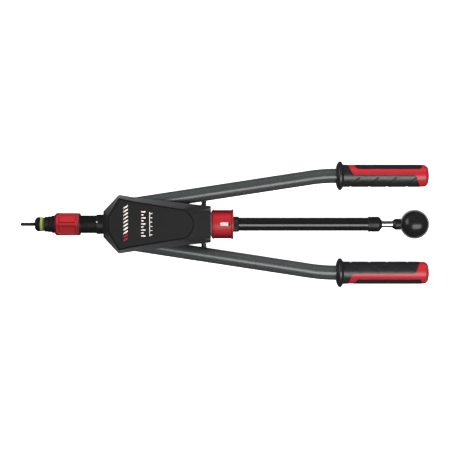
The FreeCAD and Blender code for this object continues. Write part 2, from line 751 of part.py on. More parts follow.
def make_grip(name, sign):
    """Hard red core with its inlay and end cap, black rubber sleeve, and the rubber pad in the inlay."""
    length, body_start = d.grip_rear - d.grip_front, d.grip_body - d.grip_front
    core = doc.addObject("PartDesign::Body", f"{name}_core_tube")
    revolve(core, [
        (2, d.lever_tube_radius), (2, d.grip_core_radius - 2.4), (body_start + 1, d.grip_core_radius - 0.2),
        (length - 1, d.grip_core_radius - 0.2), (length - 1, 0), (length - 4, 0),
        (length - 4, d.lever_tube_radius)])
    inlay_whole = doc.addObject("PartDesign::Body", f"{name}_inlay_whole")
    revolve(inlay_whole, [
        (body_start + 3, 11.0), (body_start + 3, d.grip_radius), (length - 4.5, d.grip_radius),
        (length - 0.6, d.grip_radius - 3.6), (length, 6.0), (length, 0), (length - 3.5, 0),
        (length - 3.5, 11.0)], {2: -4.2})
    rubber = doc.addObject("PartDesign::Body", f"{name}_rubber_whole")
    revolve(rubber, [
        (0, d.lever_tube_radius), (0, 10.8), (0.9, 13.4), (4.0, d.guard_radius - 0.8),
        (7.2, d.guard_radius - 1.3), (body_start - 0.4, d.grip_radius + 0.9),
        (body_start + 0.8, d.grip_radius), (length - 5.5, d.grip_radius),
        (length - 5.5, d.grip_core_radius), (body_start, d.grip_core_radius),
        (1.6, d.grip_core_radius - 2.2), (1.6, d.lever_tube_radius)], {2: -12.0, 3: -1.9})
    outer_area, pad_area = grip_regions(sign)
    outer, pad_block = cutter(f"{name}_outer_area", outer_area), cutter(f"{name}_pad_area", pad_area)
    ring = boolean("Part::Cut", f"{name}_inlay_open", inlay_whole, pad_block)
    inlay = boolean("Part::Common", f"{name}_inlay", ring, outer)
    made = [boolean("Part::Fuse", "", core, inlay, f"{name}_grip_core"),
            boolean("Part::Cut", "", rubber, outer, f"{name}_grip_rubber"),
            boolean("Part::Common", "", rubber, pad_block, f"{name}_grip_pad")]
    for shape in made:
        place(shape, d.grip_front, sign * grip_y)


# ---------------------------------------------------------------- frame inside the housing
def make_frame():
    plate = [(98.0, 15.4), (105.0, 15.4), (105.0, 24.0), (112.0, 32.5), (124.0, 32.5), (150.0, 22.5),
             (d.bush_block_rear, 17.0)]
    for name, sign in HALVES:
        body = piece(f"{name}_frame_plate")
        sketch = outline(new_sketch(body), mirrored_corners(plate))
        for side in (1, -1):
            circle(sketch, d.pivot_x, side * d.pivot_y, d.pin_radius)
            circle(sketch, SCREW_PLACES[1][0], side * SCREW_PLACES[1][1], BOSS_RADIUS + 0.3)
            for x in FRAME_SCREWS_X:
                circle(sketch, x, side * d.frame_screw_y, FRAME_SCREW_RADIUS + 0.1)
        pad(body, sketch, d.plate_thickness)
        place(body, z=d.plate_inner if sign > 0 else -plate_outer)
    make_guide()
    pin_length = 2 * plate_outer + 3.6
    group("pivot_pins", [
        cylinder(f"{name}_pivot_pin", d.pin_radius, pin_length,
                 d.pivot_x, side * d.pivot_y, -pin_length / 2)
        for name, side in SIDES])
    clips, washers, screws = [], [], []
    for name, side in SIDES:
        for half, sign in HALVES:
            tag = f"{name}_{half}"
            clips.append(washer(f"clip_{tag}", d.pin_radius, 7.6, 1.1, d.pivot_x, side * d.pivot_y,
                                sign * (plate_outer + 0.6) - 0.55))
            washers.append(washer(f"washer_{tag}", d.pin_radius, 8.4, 2.8, d.pivot_x, side * d.pivot_y,
                                  sign * (d.lever_thickness / 2 + 1.5) - 1.4))
            for x in FRAME_SCREWS_X:
                screws.append(frame_screw(f"frame_screw_{tag}_{int(x)}", x, side * d.frame_screw_y, sign))
    group("pivot_clips", clips)
    group("lever_washers", washers)
    group("frame_screws", screws)


def frame_screw(name, x, y, sign):
    """A cap screw through a frame plate into a guide block."""
    made = doc.addObject("Part::Fuse", name)
    axis = Vector(0, 0, -sign)
    made.Base = cylinder(name + "_head", 2.7, 1.9, x, y, sign * (plate_outer + 1.9), axis)
    made.Tool = cylinder(name + "_shank", FRAME_SCREW_RADIUS, 9.0, x, y, sign * plate_outer, axis)
    return made


def block_with_screw_holes(body, x, front, rear, half):
    """A cross block between the frame plates, tapped for their screws."""
    sketch = outline(new_sketch(body, "YZ_Plane", front), mirrored_block(half, d.plate_inner))
    pad(body, sketch, rear - front)
    doc.recompute()
    for sign in (1, -1):
        tapped = new_sketch(body, "XY_Plane", sign * d.plate_inner)
        for side in (1, -1):
            circle(tapped, x, side * d.frame_screw_y, FRAME_SCREW_RADIUS)
        pocket(body, tapped, 5.2, up=sign < 0)


def mirrored_block(half_y, half_z):
    return [(-half_y, -half_z), (half_y, -half_z), (half_y, half_z), (-half_y, half_z)]


def make_guide():
    """Front guide that the barrel slides in, and the threaded bush at the rear."""
    guide = piece("front_guide")
    block_with_screw_holes(
        guide, FRAME_SCREWS_X[0], d.guide_block_front, d.guide_block_rear, d.guide_block_half)
    revolve(guide, [(d.guide_front, 0), (d.guide_front, d.guide_radius - 1.2),
                    (d.guide_front + 1.2, d.guide_radius), (d.guide_block_front, d.guide_radius),
                    (d.guide_block_front, 0)])
    bore(guide, d.guide_front - 1, d.guide_block_rear + 1, d.barrel_radius + d.running_gap)
    bush = piece("rear_bush")
    block_with_screw_holes(
        bush, FRAME_SCREWS_X[1], d.bush_block_front, d.bush_block_rear, d.bush_block_half)
    revolve(bush, [(d.bush_block_rear, 0), (d.bush_block_rear, d.rear_bush_radius),
                   (d.rear_bush_rear - 0.8, d.rear_bush_radius),
                   (d.rear_bush_rear, d.rear_bush_radius - 0.8), (d.rear_bush_rear, 0)])
    bore(bush, d.bush_block_front - 1, d.rear_web_front, d.rack_tube_radius + d.running_gap)
    bore(bush, d.rear_web_front - 1, d.bearing_front + 1, d.spindle_radius + 0.1)
    bore(bush, d.bearing_front, d.rear_bush_rear + 1, d.bearing_radius)
    slot_front = d.stop_front + d.stop_washer / 2 - d.stop_travel - d.stop_pin_radius - 0.3
    slot_rear = d.stop_front + d.stop_washer / 2 + d.stop_pin_radius + 0.3
    past = d.rear_bush_radius + 5
    slots = outline(new_sketch(bush), [
        (slot_front, -past), (slot_rear, -past), (slot_rear, past), (slot_front, past)])
    pocket(bush, slots, 2 * d.stop_pin_radius + 0.2, both=True)


# ---------------------------------------------------------------- stroke adjuster
def make_stroke_adjuster():
    length = d.ring_rear - d.ring_front
    body = piece("stroke_ring")
    lip = 3.0
    revolve(body, [
        (0, d.ring_bore), (0, d.ring_radius - 1.0), (1.0, d.ring_radius - 0.9),
        (1.5, d.ring_flange_radius - 0.3),
        (2.6, d.ring_flange_radius - 0.3), (3.4, d.ring_radius), (length - 3.2, d.ring_radius),
        (length - 2.2, d.ring_flange_radius), (length - 0.4, d.ring_flange_radius),
        (length, d.ring_flange_radius - 0.4),
        (length, 9.8), (length - lip, 9.8), (length - lip, d.ring_bore)])
    window_x = d.ring_window_front - d.ring_front
    end = d.ring_window_width / 2
    window = new_sketch(body, "XY_Plane", d.ring_bore - 2)
    outline(window, [(window_x + end, -end), (window_x + d.ring_window_length - end, -end),
                     (window_x + d.ring_window_length - end, end), (window_x + end, end)],
            {1: end * 1.001, 3: end * 1.001})
    pocket(body, window, 5.0, up=True)
    groove = outline(new_sketch(body, "XY_Plane", -d.ring_bore + 1.5), [
        (-1, -1.7), (length - lip, -1.7), (length - lip, 1.7), (-1, 1.7)])
    pocket(body, groove, d.key_radius - d.ring_bore + 1.65)
    place(body, d.ring_front)

    nut_front = d.stop_front + d.stop_washer
    nut = piece("stop_nut")
    nut_length = d.stop_nut_rear - nut_front
    revolve(nut, ring_corners(nut_length, d.rear_bush_radius + d.running_gap, d.ring_bore - 0.15, 0.3))
    key = outline(new_sketch(nut, "XY_Plane", -d.ring_bore + 1.2), [
        (6.2, -1.5), (nut_length - 1.5, -1.5), (nut_length - 1.5, 1.5), (6.2, 1.5)])
    pad(nut, key, d.key_radius - d.ring_bore + 1.2, down=True)
    place(nut, nut_front)
    washer_body = turned("stop_washer", ring_corners(
        d.stop_washer - 0.05, d.rear_bush_radius + d.running_gap, d.ring_bore - 0.2, 0.3), d.stop_front)
    seats = circle(new_sketch(washer_body, "XZ_Plane"), d.stop_washer / 2, 0, d.stop_pin_radius)
    pocket(washer_body, seats, 40.0, both=True)
    inner, outer = 7.7, d.ring_bore - 0.35
    group("stop_pins", [
        cylinder(f"stop_pin_{name}", d.stop_pin_radius, outer - inner, d.stop_front + d.stop_washer / 2,
                 side * inner, 0, Vector(0, side, 0))
        for name, side in SIDES])


def make_thrust_bearing():
    """Two races with a caged row of balls between them, which take the pull on the spindle."""
    race = [d.spindle_radius + 0.1, d.bearing_radius - 0.1]
    rear_race = d.bearing_front + d.race_thickness + 2 * d.ball_radius
    turned("thrust_race_front", ring_corners(d.race_thickness, *race), d.bearing_front)
    turned("thrust_race_rear", ring_corners(d.race_thickness, *race), rear_race)
    nut_front = rear_race + d.race_thickness
    turned("spindle_nut", ring_corners(d.spindle_rear - 0.2 - nut_front, d.spindle_radius,
                                       d.bearing_radius - 0.3, 0.4), nut_front)
    count, middle_x = 12, d.bearing_front + d.race_thickness + d.ball_radius
    ball_circle = (d.spindle_radius + d.bearing_radius) / 2
    balls, seats = [], []
    for i in range(count):
        angle = 2 * math.pi * (i + 0.5) / count
        y, z = ball_circle * math.cos(angle), ball_circle * math.sin(angle)
        ball = doc.addObject("Part::Sphere", f"thrust_ball_{i}")
        bind(ball, "Radius", d.ball_radius)
        balls.append(place(ball, middle_x, y, z))
        seats.append(cylinder(f"thrust_seat_{i}", d.ball_radius + 0.1, 1.2, middle_x - 0.6, y, z,
                              Vector(1, 0, 0)))
    group("thrust_balls", balls)
    all_seats = doc.addObject("Part::MultiFuse", "thrust_seats")
    all_seats.Shapes = seats
    cage = piece("thrust_cage", "Part::Cut")
    cage.Base = washer("cage_blank", 7.15, 11.35, 1.2, middle_x - 0.6, axis=Vector(1, 0, 0))
    cage.Tool = all_seats


# ---------------------------------------------------------------- guide tube
def make_guide_tube():
    plug_front = d.spindle_rear + 0.2
    plug_length = d.rear_bush_rear - 0.1 - plug_front
    turned("rear_plug", [
        (0, 5.0), (0, d.bearing_radius), (plug_length, d.bearing_radius), (plug_length, 9.5),
        (1.8, 9.5), (1.8, 5.0)], plug_front)
    turned("guide_tube", [
        (0, d.tube_bore), (0, 9.4), (1.5, 9.4), (1.5, d.tube_radius),
        (d.cap_front + 8 - d.tube_front, d.tube_radius),
        (d.cap_front + 8 - d.tube_front, d.tube_bore)], d.tube_front)
    spigot = d.tube_front + 1.6
    nut_length, head_start = d.tube_nut_rear - spigot, d.tube_nut_front - spigot
    turned("tube_nut", [
        (0, d.tube_radius + 0.02), (0, 9.5), (head_start, 9.5), (head_start, d.tube_nut_radius - 0.4),
        (head_start + 0.4, d.tube_nut_radius), (nut_length - 0.8, d.tube_nut_radius),
        (nut_length, d.tube_nut_radius - 0.8), (nut_length, d.tube_radius + 0.02)], spigot)
    cap_length, shoulder = d.cap_rear - d.cap_front, d.cap_shoulder - d.cap_front
    turned("tube_end_cap", [
        (0, d.tube_radius), (0, d.cap_radius - 0.5), (0.5, d.cap_radius), (shoulder, d.cap_radius),
        (cap_length, 5.4), (cap_length, d.rod_radius + 0.1), (8, d.rod_radius + 0.1), (8, d.tube_radius)],
        d.cap_front)
    turned("rod_bush", ring_corners(14.0, d.rod_radius + d.running_gap, d.tube_bore), d.cap_front - 6.2)


# ---------------------------------------------------------------- housing
def shell_outline(sketch):
    return outline(sketch, mirrored_corners([
        (d.shell_front, 17.6), (d.pivot_x - 3.6, 37.6), (d.pivot_x + 2.4, 39.6), (139.0, 36.4),
        (211.0, 28.0), (d.shell_rear, 24.8)]), {1: Size(-5.0, "-5"), 9: Size(-5.0, "-5")})


def panel_outline(sketch, inset):
    """Shield shape of the raised panel: blunt front, tapering sides and a round rear end."""
    return outline(sketch, mirrored_corners([
        (100.2 + inset, 9.5 - inset * 0.4), (115.2 + inset * 0.3, 34.6 - inset * 1.4),
        (118.6 + inset * 0.1, 35.4 - inset * 1.1), (131.0, 32.2 - inset),
        (203.5 - inset * 0.3, 20.6 - inset * 0.95), (215.2 - inset * 0.84, 11.6 - inset * 0.54)]),
        {1: -3.2, 9: -3.2, 4: -21.6 + inset, 5: -21.6 + inset, 6: -21.6 + inset})


def make_shell(name, sign):
    """One half of the housing, split on the tool's middle plane."""
    body = piece(f"{name}_shell")
    down = sign < 0
    pad(body, shell_outline(new_sketch(body)), d.shell_side, down=down)
    loft = body.newObject("PartDesign::AdditiveLoft", "Shoulder")
    loft.Profile = shell_outline(new_sketch(body, offset=sign * d.shell_side))
    loft.Sections = [panel_outline(new_sketch(body, offset=sign * d.shell_top), 0.0)]
    loft.Ruled = True
    rear = outline(new_sketch(body, "YZ_Plane", d.shell_rear), [
        (-22.4, 0), (22.4, 0), (22.4, sign * 14.5), (15.6, sign * 21.3), (-15.6, sign * 21.3),
        (-22.4, sign * 14.5)],
        {2: Size(sign * 8.0, f"{sign * 8.0}"), 4: Size(sign * 8.0, f"{sign * 8.0}")})
    pad(body, rear, 36.0, down=True)
    neck = [(94.0, 0), (94.0, 14.2), (95.4, 17.2), (103.5, 21.0), (103.5, 0)]
    revolve(body, neck, {1: 6.0}, angle=180).Reversed = down
    cut_shell(body, sign)


def cut_shell(body, sign):
    """Hollows a shell for the levers, the frame and everything between the frame plates."""
    inner = d.plate_inner + 0.1

    def cut_up(sketch, height):
        return pocket(body, sketch, height, up=sign > 0)

    # levers: a round seat at each pivot and an open side that the arm swings through
    seats = new_sketch(body)
    for side in (1, -1):
        circle(seats, d.pivot_x, side * d.pivot_y, 13.6)
    cut_up(seats, inner)
    opening = [(118.5, 13.6), (270.0, 36.8), (270.0, 82.0), (140.0, 82.0), (107.6, 29.2)]
    for side in (1, -1):
        cut_up(outline(new_sketch(body), [(x, side * y) for x, y in opening]), d.shell_slot)
    # rack, guide block and rear bush between the plates
    half = [(97.3, 15.4), (148.0, 15.4), (148.0, 12.2), (204.8, 12.2), (204.8, 16.2), (214.2, 16.2)]
    cut_up(outline(new_sketch(body), mirrored_corners(half)), inner)
    # frame plates and the pin ends, with the screw bosses left standing
    half = [(97.3, 15.9), (104.6, 15.9), (104.6, 25.0), (112.0, 33.6), (125.0, 33.6), (151.0, 23.6),
            (214.3, 17.8)]
    plates = outline(new_sketch(body, offset=sign * (d.plate_inner - 0.2)), mirrored_corners(half))
    for side in (1, -1):
        circle(plates, SCREW_PLACES[1][0], side * SCREW_PLACES[1][1], BOSS_RADIUS)
    cut_up(plates, 6.4)
    # round way for the guide's hub in front, and for the bush and stop washer behind
    bore(body, 90, 97.4, d.guide_radius + 0.05)
    bore(body, 214.0, 231.6, d.rear_bush_radius + 0.1)
    bore(body, 231.5, d.shell_rear + 1, d.ring_bore + 0.2)
    buffers = circle(new_sketch(body, "XZ_Plane"), 231.2, 0, 2.6)
    pocket(body, buffers, 60.0, both=True)
    screws = new_sketch(body)
    heads = new_sketch(body, offset=sign * 14.0)
    for x, y in SCREW_PLACES:
        for side in (1, -1):
            circle(screws, x, side * y, 1.3 if sign > 0 else 1.6)
            circle(heads, x, side * y, 2.95)
    cut_up(screws, 12.0 if sign > 0 else 30.0)
    if sign < 0:
        cut_up(heads, 20.0)
    else:
        cut_up(panel_outline(new_sketch(body, offset=d.shell_top - 1.5), 1.0), 3.0)


def make_housing():
    for name, sign in HALVES:
        make_shell(name, sign)
    panel = piece("cover_panel")
    seat = d.shell_top - 1.45
    pad(panel, panel_outline(new_sketch(panel, offset=seat), 1.3), d.panel_top - seat)
    top = number(d.panel_top)
    dress(panel, "Fillet", 1.4, lambda edge: edge.BoundBox.ZMin > top - 0.01)
    screws = []
    for x, y in SCREW_PLACES:
        for name, side in SIDES:
            tag = f"{name}_{int(x)}"
            screw = doc.addObject("Part::Fuse", f"shell_screw_{tag}")
            screw.Base = cylinder(f"screw_head_{tag}", 2.8, 2.4, x, side * y, -16.4)
            screw.Tool = cylinder(f"screw_shank_{tag}", 1.28, 24.0, x, side * y, -14.0)
            screws.append(screw)
    group("shell_screws", screws)
    # rubber posts on the shell's flanks that the closed levers rest against
    bumpers = []
    arm_edge = (d.pivot_y + (231.2 - d.pivot_x) * trig("tan", d.lever_angle)
                - d.lever_tube_radius / trig("cos", d.lever_angle))
    for name, side in SIDES:
        post = doc.addObject("PartDesign::Body", f"bumper_{name}")
        reach = arm_edge - 20.0 - 0.56
        revolve(post, [(0, 0), (0, 2.55), (6.35, 2.55), (6.35, 4.4), (7.0, 4.4), (8.4, 3.0),
                       (reach - 1.7, 3.0), (reach - 0.9, 3.9), (reach - 0.1, 3.6), (reach, 3.2),
                       (reach, 0)])
        post.Placement = Placement(Vector(231.2, side * 20.0, 0), Rotation(Vector(0, 0, 1), side * 90))
        bumpers.append(post)
    group("lever_bumpers", bumpers)


# ---------------------------------------------------------------- build, check and write
make_nose()
make_lock_collar()
make_spindle()
make_knob()
for lever_name, lever_sign in SIDES:
    make_lever(lever_name, lever_sign)
make_frame()
make_stroke_adjuster()
make_thrust_bearing()
make_guide_tube()
make_housing()
doc.recompute()

failed = [o.Label for o in doc.Objects if {"Invalid", "Error"} & set(o.State)]
if failed:
    raise RuntimeError(f"objects that did not recompute: {failed}")
os.makedirs("parts", exist_ok=True)
for made in PIECES:
    shape = made.Shape
    if shape.isNull() or not shape.isValid() or not shape.Solids:
        raise RuntimeError(f"{made.Label} has no valid solid")
    shape.exportStep(os.path.join("parts", made.Label + ".step"))
print(len(PIECES), "sub-parts written")
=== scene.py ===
import json
import math

import bmesh
import bpy
from mathutils import Matrix, Vector

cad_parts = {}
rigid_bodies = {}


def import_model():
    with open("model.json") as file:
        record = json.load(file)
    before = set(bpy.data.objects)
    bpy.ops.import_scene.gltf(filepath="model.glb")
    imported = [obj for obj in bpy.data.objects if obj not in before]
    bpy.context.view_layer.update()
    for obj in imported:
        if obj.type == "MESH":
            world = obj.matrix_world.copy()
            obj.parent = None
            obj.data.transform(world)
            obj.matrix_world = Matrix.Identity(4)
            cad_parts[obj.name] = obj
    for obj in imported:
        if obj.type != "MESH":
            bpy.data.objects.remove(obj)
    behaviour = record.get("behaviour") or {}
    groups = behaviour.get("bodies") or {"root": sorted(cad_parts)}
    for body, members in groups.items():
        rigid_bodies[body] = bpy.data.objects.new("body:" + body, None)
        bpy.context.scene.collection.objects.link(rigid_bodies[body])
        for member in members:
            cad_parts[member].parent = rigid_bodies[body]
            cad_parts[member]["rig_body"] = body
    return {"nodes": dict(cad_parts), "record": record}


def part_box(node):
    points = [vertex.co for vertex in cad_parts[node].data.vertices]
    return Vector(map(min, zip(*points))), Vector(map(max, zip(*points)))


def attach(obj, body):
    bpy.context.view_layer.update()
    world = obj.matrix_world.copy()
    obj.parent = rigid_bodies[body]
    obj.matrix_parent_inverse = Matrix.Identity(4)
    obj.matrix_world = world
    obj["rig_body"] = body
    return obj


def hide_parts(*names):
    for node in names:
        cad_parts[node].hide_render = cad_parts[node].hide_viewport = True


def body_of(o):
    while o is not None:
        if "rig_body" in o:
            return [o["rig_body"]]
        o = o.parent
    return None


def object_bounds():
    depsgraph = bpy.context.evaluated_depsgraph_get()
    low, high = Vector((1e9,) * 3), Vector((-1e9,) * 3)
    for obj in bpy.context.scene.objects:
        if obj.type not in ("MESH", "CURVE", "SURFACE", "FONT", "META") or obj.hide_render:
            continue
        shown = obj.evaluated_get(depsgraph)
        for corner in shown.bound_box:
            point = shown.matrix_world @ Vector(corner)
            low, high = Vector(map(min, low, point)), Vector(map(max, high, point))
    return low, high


# Looks for the two-handed rivet-nut tool: materials, fine shapes, studio and camera.
# The frame is in metres. Lengths of the tool's own parts are in millimetres and go through MM.

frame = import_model()
CAD_BOX = [list(corner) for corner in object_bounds()]
MM = 0.001
NODES = frame["nodes"]


# ---------------------------------------------------------------- node graph helper
class Graph:
    """Builds one material: each call adds a shader node and returns one of its outputs."""

    def __init__(self, name):
        self.material = bpy.data.materials.new(name)
        self.material.use_nodes = True
        self.tree = self.material.node_tree
        self.tree.nodes.clear()

    def add(self, kind, output=0, settings=None, **inputs):
        node = self.tree.nodes.new("ShaderNode" + kind)
        for key, value in (settings or {}).items():
            setattr(node, key, value)
        for key, value in inputs.items():
            self.feed(node, key.replace("_", " "), value)
        return node.outputs[output] if node.outputs else None

    def feed(self, node, name, value):
        """Links or sets an input, which goes by its label or, as i0, i1 and so on, by its place."""
        by_place = name[0] == "i" and name[1:].isdigit()
        socket = node.inputs[int(name[1:]) if by_place else name]
        if isinstance(value, bpy.types.NodeSocket):
            self.tree.links.new(value, socket)
        else:
            socket.default_value = value

    def math(self, operation, first, second=0.0, clamp=False):
        settings = {"operation": operation, "use_clamp": clamp}
        return self.add("Math", settings=settings, i0=first, i1=second)

    def spread(self, value, low, high, to_low=0.0, to_high=1.0):
        """Maps low..high to to_low..to_high, and clamps."""
        return self.add("MapRange", i0=value, i1=low, i2=high, i3=to_low, i4=to_high)

    def mix(self, factor, first, second):
        """Mixes two colours."""
        return self.add("Mix", 2, {"data_type": "RGBA"}, i0=factor, i6=first, i7=second)

    def noise(self, place, scale, detail=3.0, roughness=0.55):
        return self.add("TexNoise", Vector=place, Scale=scale, Detail=detail, Roughness=roughness)


def colour(red, green, blue):
    """An RGBA colour in linear light, from 0-255 screen values."""
    linear = [v / 255 / 12.92 if v <= 10 else ((v / 255 + 0.055) / 1.055) ** 2.4
              for v in (red, green, blue)]
    return (*linear, 1)


HOLLOW_SHADE = 0.3  # strength of the painted shade in hollows
RUBBED = 0.75  # strength of the worn colour on edges
TOOL_MARKS = (6.0, 0.15, 0.006)  # per mm across and along the marks, and their height in mm


def finish_material(name, base, rough, metallic=0.0, vary=0.18, grain=None, brushed=None, worn=None,
                    specular=0.5, scratches=0.3, painted_grazing_light=None, flanks=False, shade_in=None):
    """A moulded, coated or machined surface: mottling, fine relief, worn edges, painted light and
    shade.

    vary is how far the mottling goes; grain is (bumps per mm, height in mm); brushed is the axis
    that fine tool marks run along; worn is the colour that shows on rubbed edges; haze is
    (colour, from, to), painted light or shade on a surface as it turns away from the eye, and
    with flanks only where it faces a side; shade_in is the colour of painted shade in deep
    corners, instead of a darker copy of the body colour.
    """
    g = Graph(name)
    place = g.add("Mapping", Vector=g.add("TexCoord", "Object"), Scale=(1 / MM,) * 3)

    # mottled colour, and painted light or shade on faces that turn away from the eye
    mottle = g.noise(place, 0.045, 5.0, 0.6)
    fine = g.noise(place, 0.6, 4.0, 0.65)
    uneven = g.math("ADD", mottle, g.math("MULTIPLY", fine, 0.35))
    shade = g.spread(uneven, 0.35, 1.0, 1.0 - vary, 1.0 + vary)
    body = g.add("HueSaturation", Color=base, Value=shade)
    if painted_grazing_light:
        grazing_light_colour, grazing_light_from, grazing_light_to = painted_grazing_light
        turned_away = g.spread(g.add("LayerWeight", "Facing", Blend=0.5), grazing_light_from, grazing_light_to)
        if flanks:
            facing = g.add("SeparateXYZ", "Y", Vector=g.add("NewGeometry", "Normal"))
            sideways = g.spread(g.math("ABSOLUTE", facing), 0.10, 0.40)
            turned_away = g.math("MULTIPLY", turned_away, sideways)
        body = g.mix(turned_away, body, grazing_light_colour)

    # painted shade in hollows: towards shade_in where it is given, else towards a darker copy of
    # the body colour
    hollow = g.add("AmbientOcclusion", "AO", {"samples": 6, "inside": False}, Distance=3.0 * MM)
    if shade_in:
        body = g.mix(g.spread(hollow, 0.55, 0.95, 1.0, 0.0), body, shade_in)
    else:
        hollow_shade_colour = tuple(0.55 * c + 0.012 for c in base[:3]) + (1,)
        body = g.mix(g.math("MULTIPLY", g.spread(hollow, 0.35, 0.85, 1.0, 0.0), HOLLOW_SHADE), body, hollow_shade_colour)

    # patchy gloss with a few long scratches
    roughness = g.spread(g.noise(place, 0.16, 5.0, 0.7), 0.3, 0.7, rough * 0.86, rough * 1.16)
    long_marks = g.add("Mapping", Vector=place, Scale=(0.05, 2.4, 2.4), Rotation=(0.2, 0.5, 0.35))
    mark = g.spread(g.noise(long_marks, 1.0, 2.0, 0.5), 0.70, 0.76, 0.0, scratches)
    roughness = g.math("ADD", roughness, g.math("MULTIPLY", mark, 0.25), clamp=True)

    # rubbed edges
    if worn:
        geometry = g.add("NewGeometry", "Normal")
        rounded = g.add("Bevel", settings={"samples": 6}, Radius=0.5 * MM)
        bend = g.add("VectorMath", "Value", {"operation": "DOT_PRODUCT"}, i0=geometry, i1=rounded)
        edge = g.spread(bend, 0.996, 0.90, 0.0, 1.0)
        patchy = g.spread(g.noise(place, 0.35, 4.0, 0.7), 0.45, 0.62, 0.0, 1.0)
        body = g.mix(g.math("MULTIPLY", edge, g.math("MULTIPLY", patchy, RUBBED)), body, worn)

    # relief
    height = None
    if grain:
        bumps, bump_height = grain
        height = g.math("MULTIPLY", g.noise(place, bumps, 2.0, 0.5), bump_height * MM)
    if brushed is not None:
        across, along, mark_height = TOOL_MARKS
        scale = [across] * 3
        scale[brushed] = along
        lines = g.noise(g.add("Mapping", Vector=place, Scale=tuple(scale)), 1.0, 3.0, 0.6)
        marks = g.math("MULTIPLY", lines, mark_height * MM)
        height = marks if height is None else g.math("ADD", height, marks)
    normal = {}
    if height is not None:
        normal["Normal"] = g.add("Bump", Strength=1.0, Distance=1.0, Height=height)
    shader = g.add("BsdfPrincipled", Base_Color=body, Roughness=roughness, Metallic=metallic,
                   Specular_IOR_Level=specular, **normal)
    g.add("OutputMaterial", Surface=shader)
    return g.material


STEEL_WORN = colour(80, 79, 78)
# the colour of painted shade in the corners of black plastic
CORNER_SHADE = colour(14, 14, 15)
MATERIALS = {
    "mandrel_steel": dict(base=colour(26, 25, 25), rough=0.50, specular=0.25, grain=(3.0, 0.004)),
    "bright_steel": dict(base=colour(176, 176, 174), rough=0.30, metallic=1.0, brushed=1,
                         vary=0.08),
    # bright_rod darkens where it turns away: painted shade along the rod's edges
    "bright_rod": dict(base=colour(228, 222, 212), rough=0.26, metallic=1.0, brushed=1, vary=0.04,
                       scratches=0.6, painted_grazing_light=(colour(44, 41, 38), 0.38, 0.78)),
    "white_enamel": dict(base=colour(240, 232, 226), rough=0.35, vary=0.05),
    "dark_steel": dict(base=colour(14, 14, 15), rough=0.46, specular=0.19, worn=STEEL_WORN,
                       grain=(2.5, 0.006)),
    "grey_steel": dict(base=colour(15, 15, 17), rough=0.44, specular=0.20, worn=STEEL_WORN,
                       grain=(3.0, 0.006)),
    "black_steel": dict(base=colour(18, 16, 16), rough=0.42, specular=0.38, worn=colour(62, 58, 57),
                        grain=(2.5, 0.005)),
    "black_tube": dict(base=colour(20, 20, 20), rough=0.16, vary=0.10, grain=(0.22, 0.002)),
    "grey_tube": dict(base=colour(58, 61, 61), rough=0.25, specular=0.58, vary=0.05,
                      grain=(0.4, 0.002)),
    # black_plastic turns paler on flanks that face a side: painted light; its corners get painted
    # shade
    "black_plastic": dict(base=colour(31, 31, 32), rough=0.55, vary=0.08, specular=0.10,
                          grain=(2.2, 0.016), worn=colour(70, 70, 72), shade_in=CORNER_SHADE,
                          painted_grazing_light=(colour(82, 83, 85), 0.10, 0.42), flanks=True),
    # panel_plastic darkens where it turns away: painted shade round the panel's edges; corners too
    "panel_plastic": dict(base=colour(30, 30, 31), rough=0.55, vary=0.08, specular=0.10,
                          grain=(2.2, 0.016), shade_in=CORNER_SHADE,
                          painted_grazing_light=(colour(12, 12, 13), 0.03, 0.20)),
    # gloss_black turns pale where it turns away: a painted rim highlight on the knob
    "gloss_black": dict(base=colour(24, 24, 25), rough=0.24, vary=0.06, specular=0.36,
                        grain=(0.15, 0.003), painted_grazing_light=(colour(190, 190, 192), 0.52, 0.92)),
    # red_anodised darkens where it turns away and in its corners: painted shade
    "red_anodised": dict(base=colour(158, 27, 34), rough=0.38, specular=0.26, vary=0.10,
                         worn=colour(205, 110, 110), grain=(2.0, 0.005), shade_in=colour(70, 8, 14),
                         painted_grazing_light=(colour(78, 8, 14), 0.14, 0.55)),
    # red_rim_shade is a darker red for the collar's rear rim: painted shade
    "red_rim_shade": dict(base=colour(54, 10, 14), rough=0.40, specular=0.26, vary=0.10,
                     grain=(2.0, 0.005)),
    # red_plastic darkens where it turns away: painted shade towards the grips' edges
    "red_plastic": dict(base=colour(162, 27, 37), rough=0.34, specular=0.44, vary=0.08,
                        grain=(2.4, 0.008), painted_grazing_light=(colour(96, 10, 18), 0.45, 0.95)),
    # lime_ring and the next material are lit and shaded copies of one green: painted shade on the
    # ring's rear
    "lime_ring": dict(base=colour(140, 150, 84), rough=0.50, vary=0.10, specular=0.3,
                      grain=(2.0, 0.010)),
    "lime_ring_shade": dict(base=colour(64, 76, 24), rough=0.50, vary=0.10, specular=0.3,
                       grain=(2.0, 0.010)),
    "black_rubber": dict(base=colour(24, 24, 26), rough=0.38, vary=0.12, specular=0.58,
                         grain=(1.8, 0.018)),
    "bronze": dict(base=colour(176, 128, 74), rough=0.40, metallic=0.9, brushed=1),
    "brass_cage": dict(base=colour(196, 160, 92), rough=0.32, metallic=1.0, brushed=1),
}
SHADERS = {finish: finish_material(finish, **values) for finish, values in MATERIALS.items()}
SLOT_OF = {part["node"]: part["material_slot"] for part in frame["record"]["subparts"]}
BODY_OF = {name: body_of(node)[0] for name, node in NODES.items()}


# ---------------------------------------------------------------- mesh helpers
def span(node):
    """Lowest and highest corners of a CAD node, in millimetres."""
    return [Vector(corner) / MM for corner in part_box(node)]


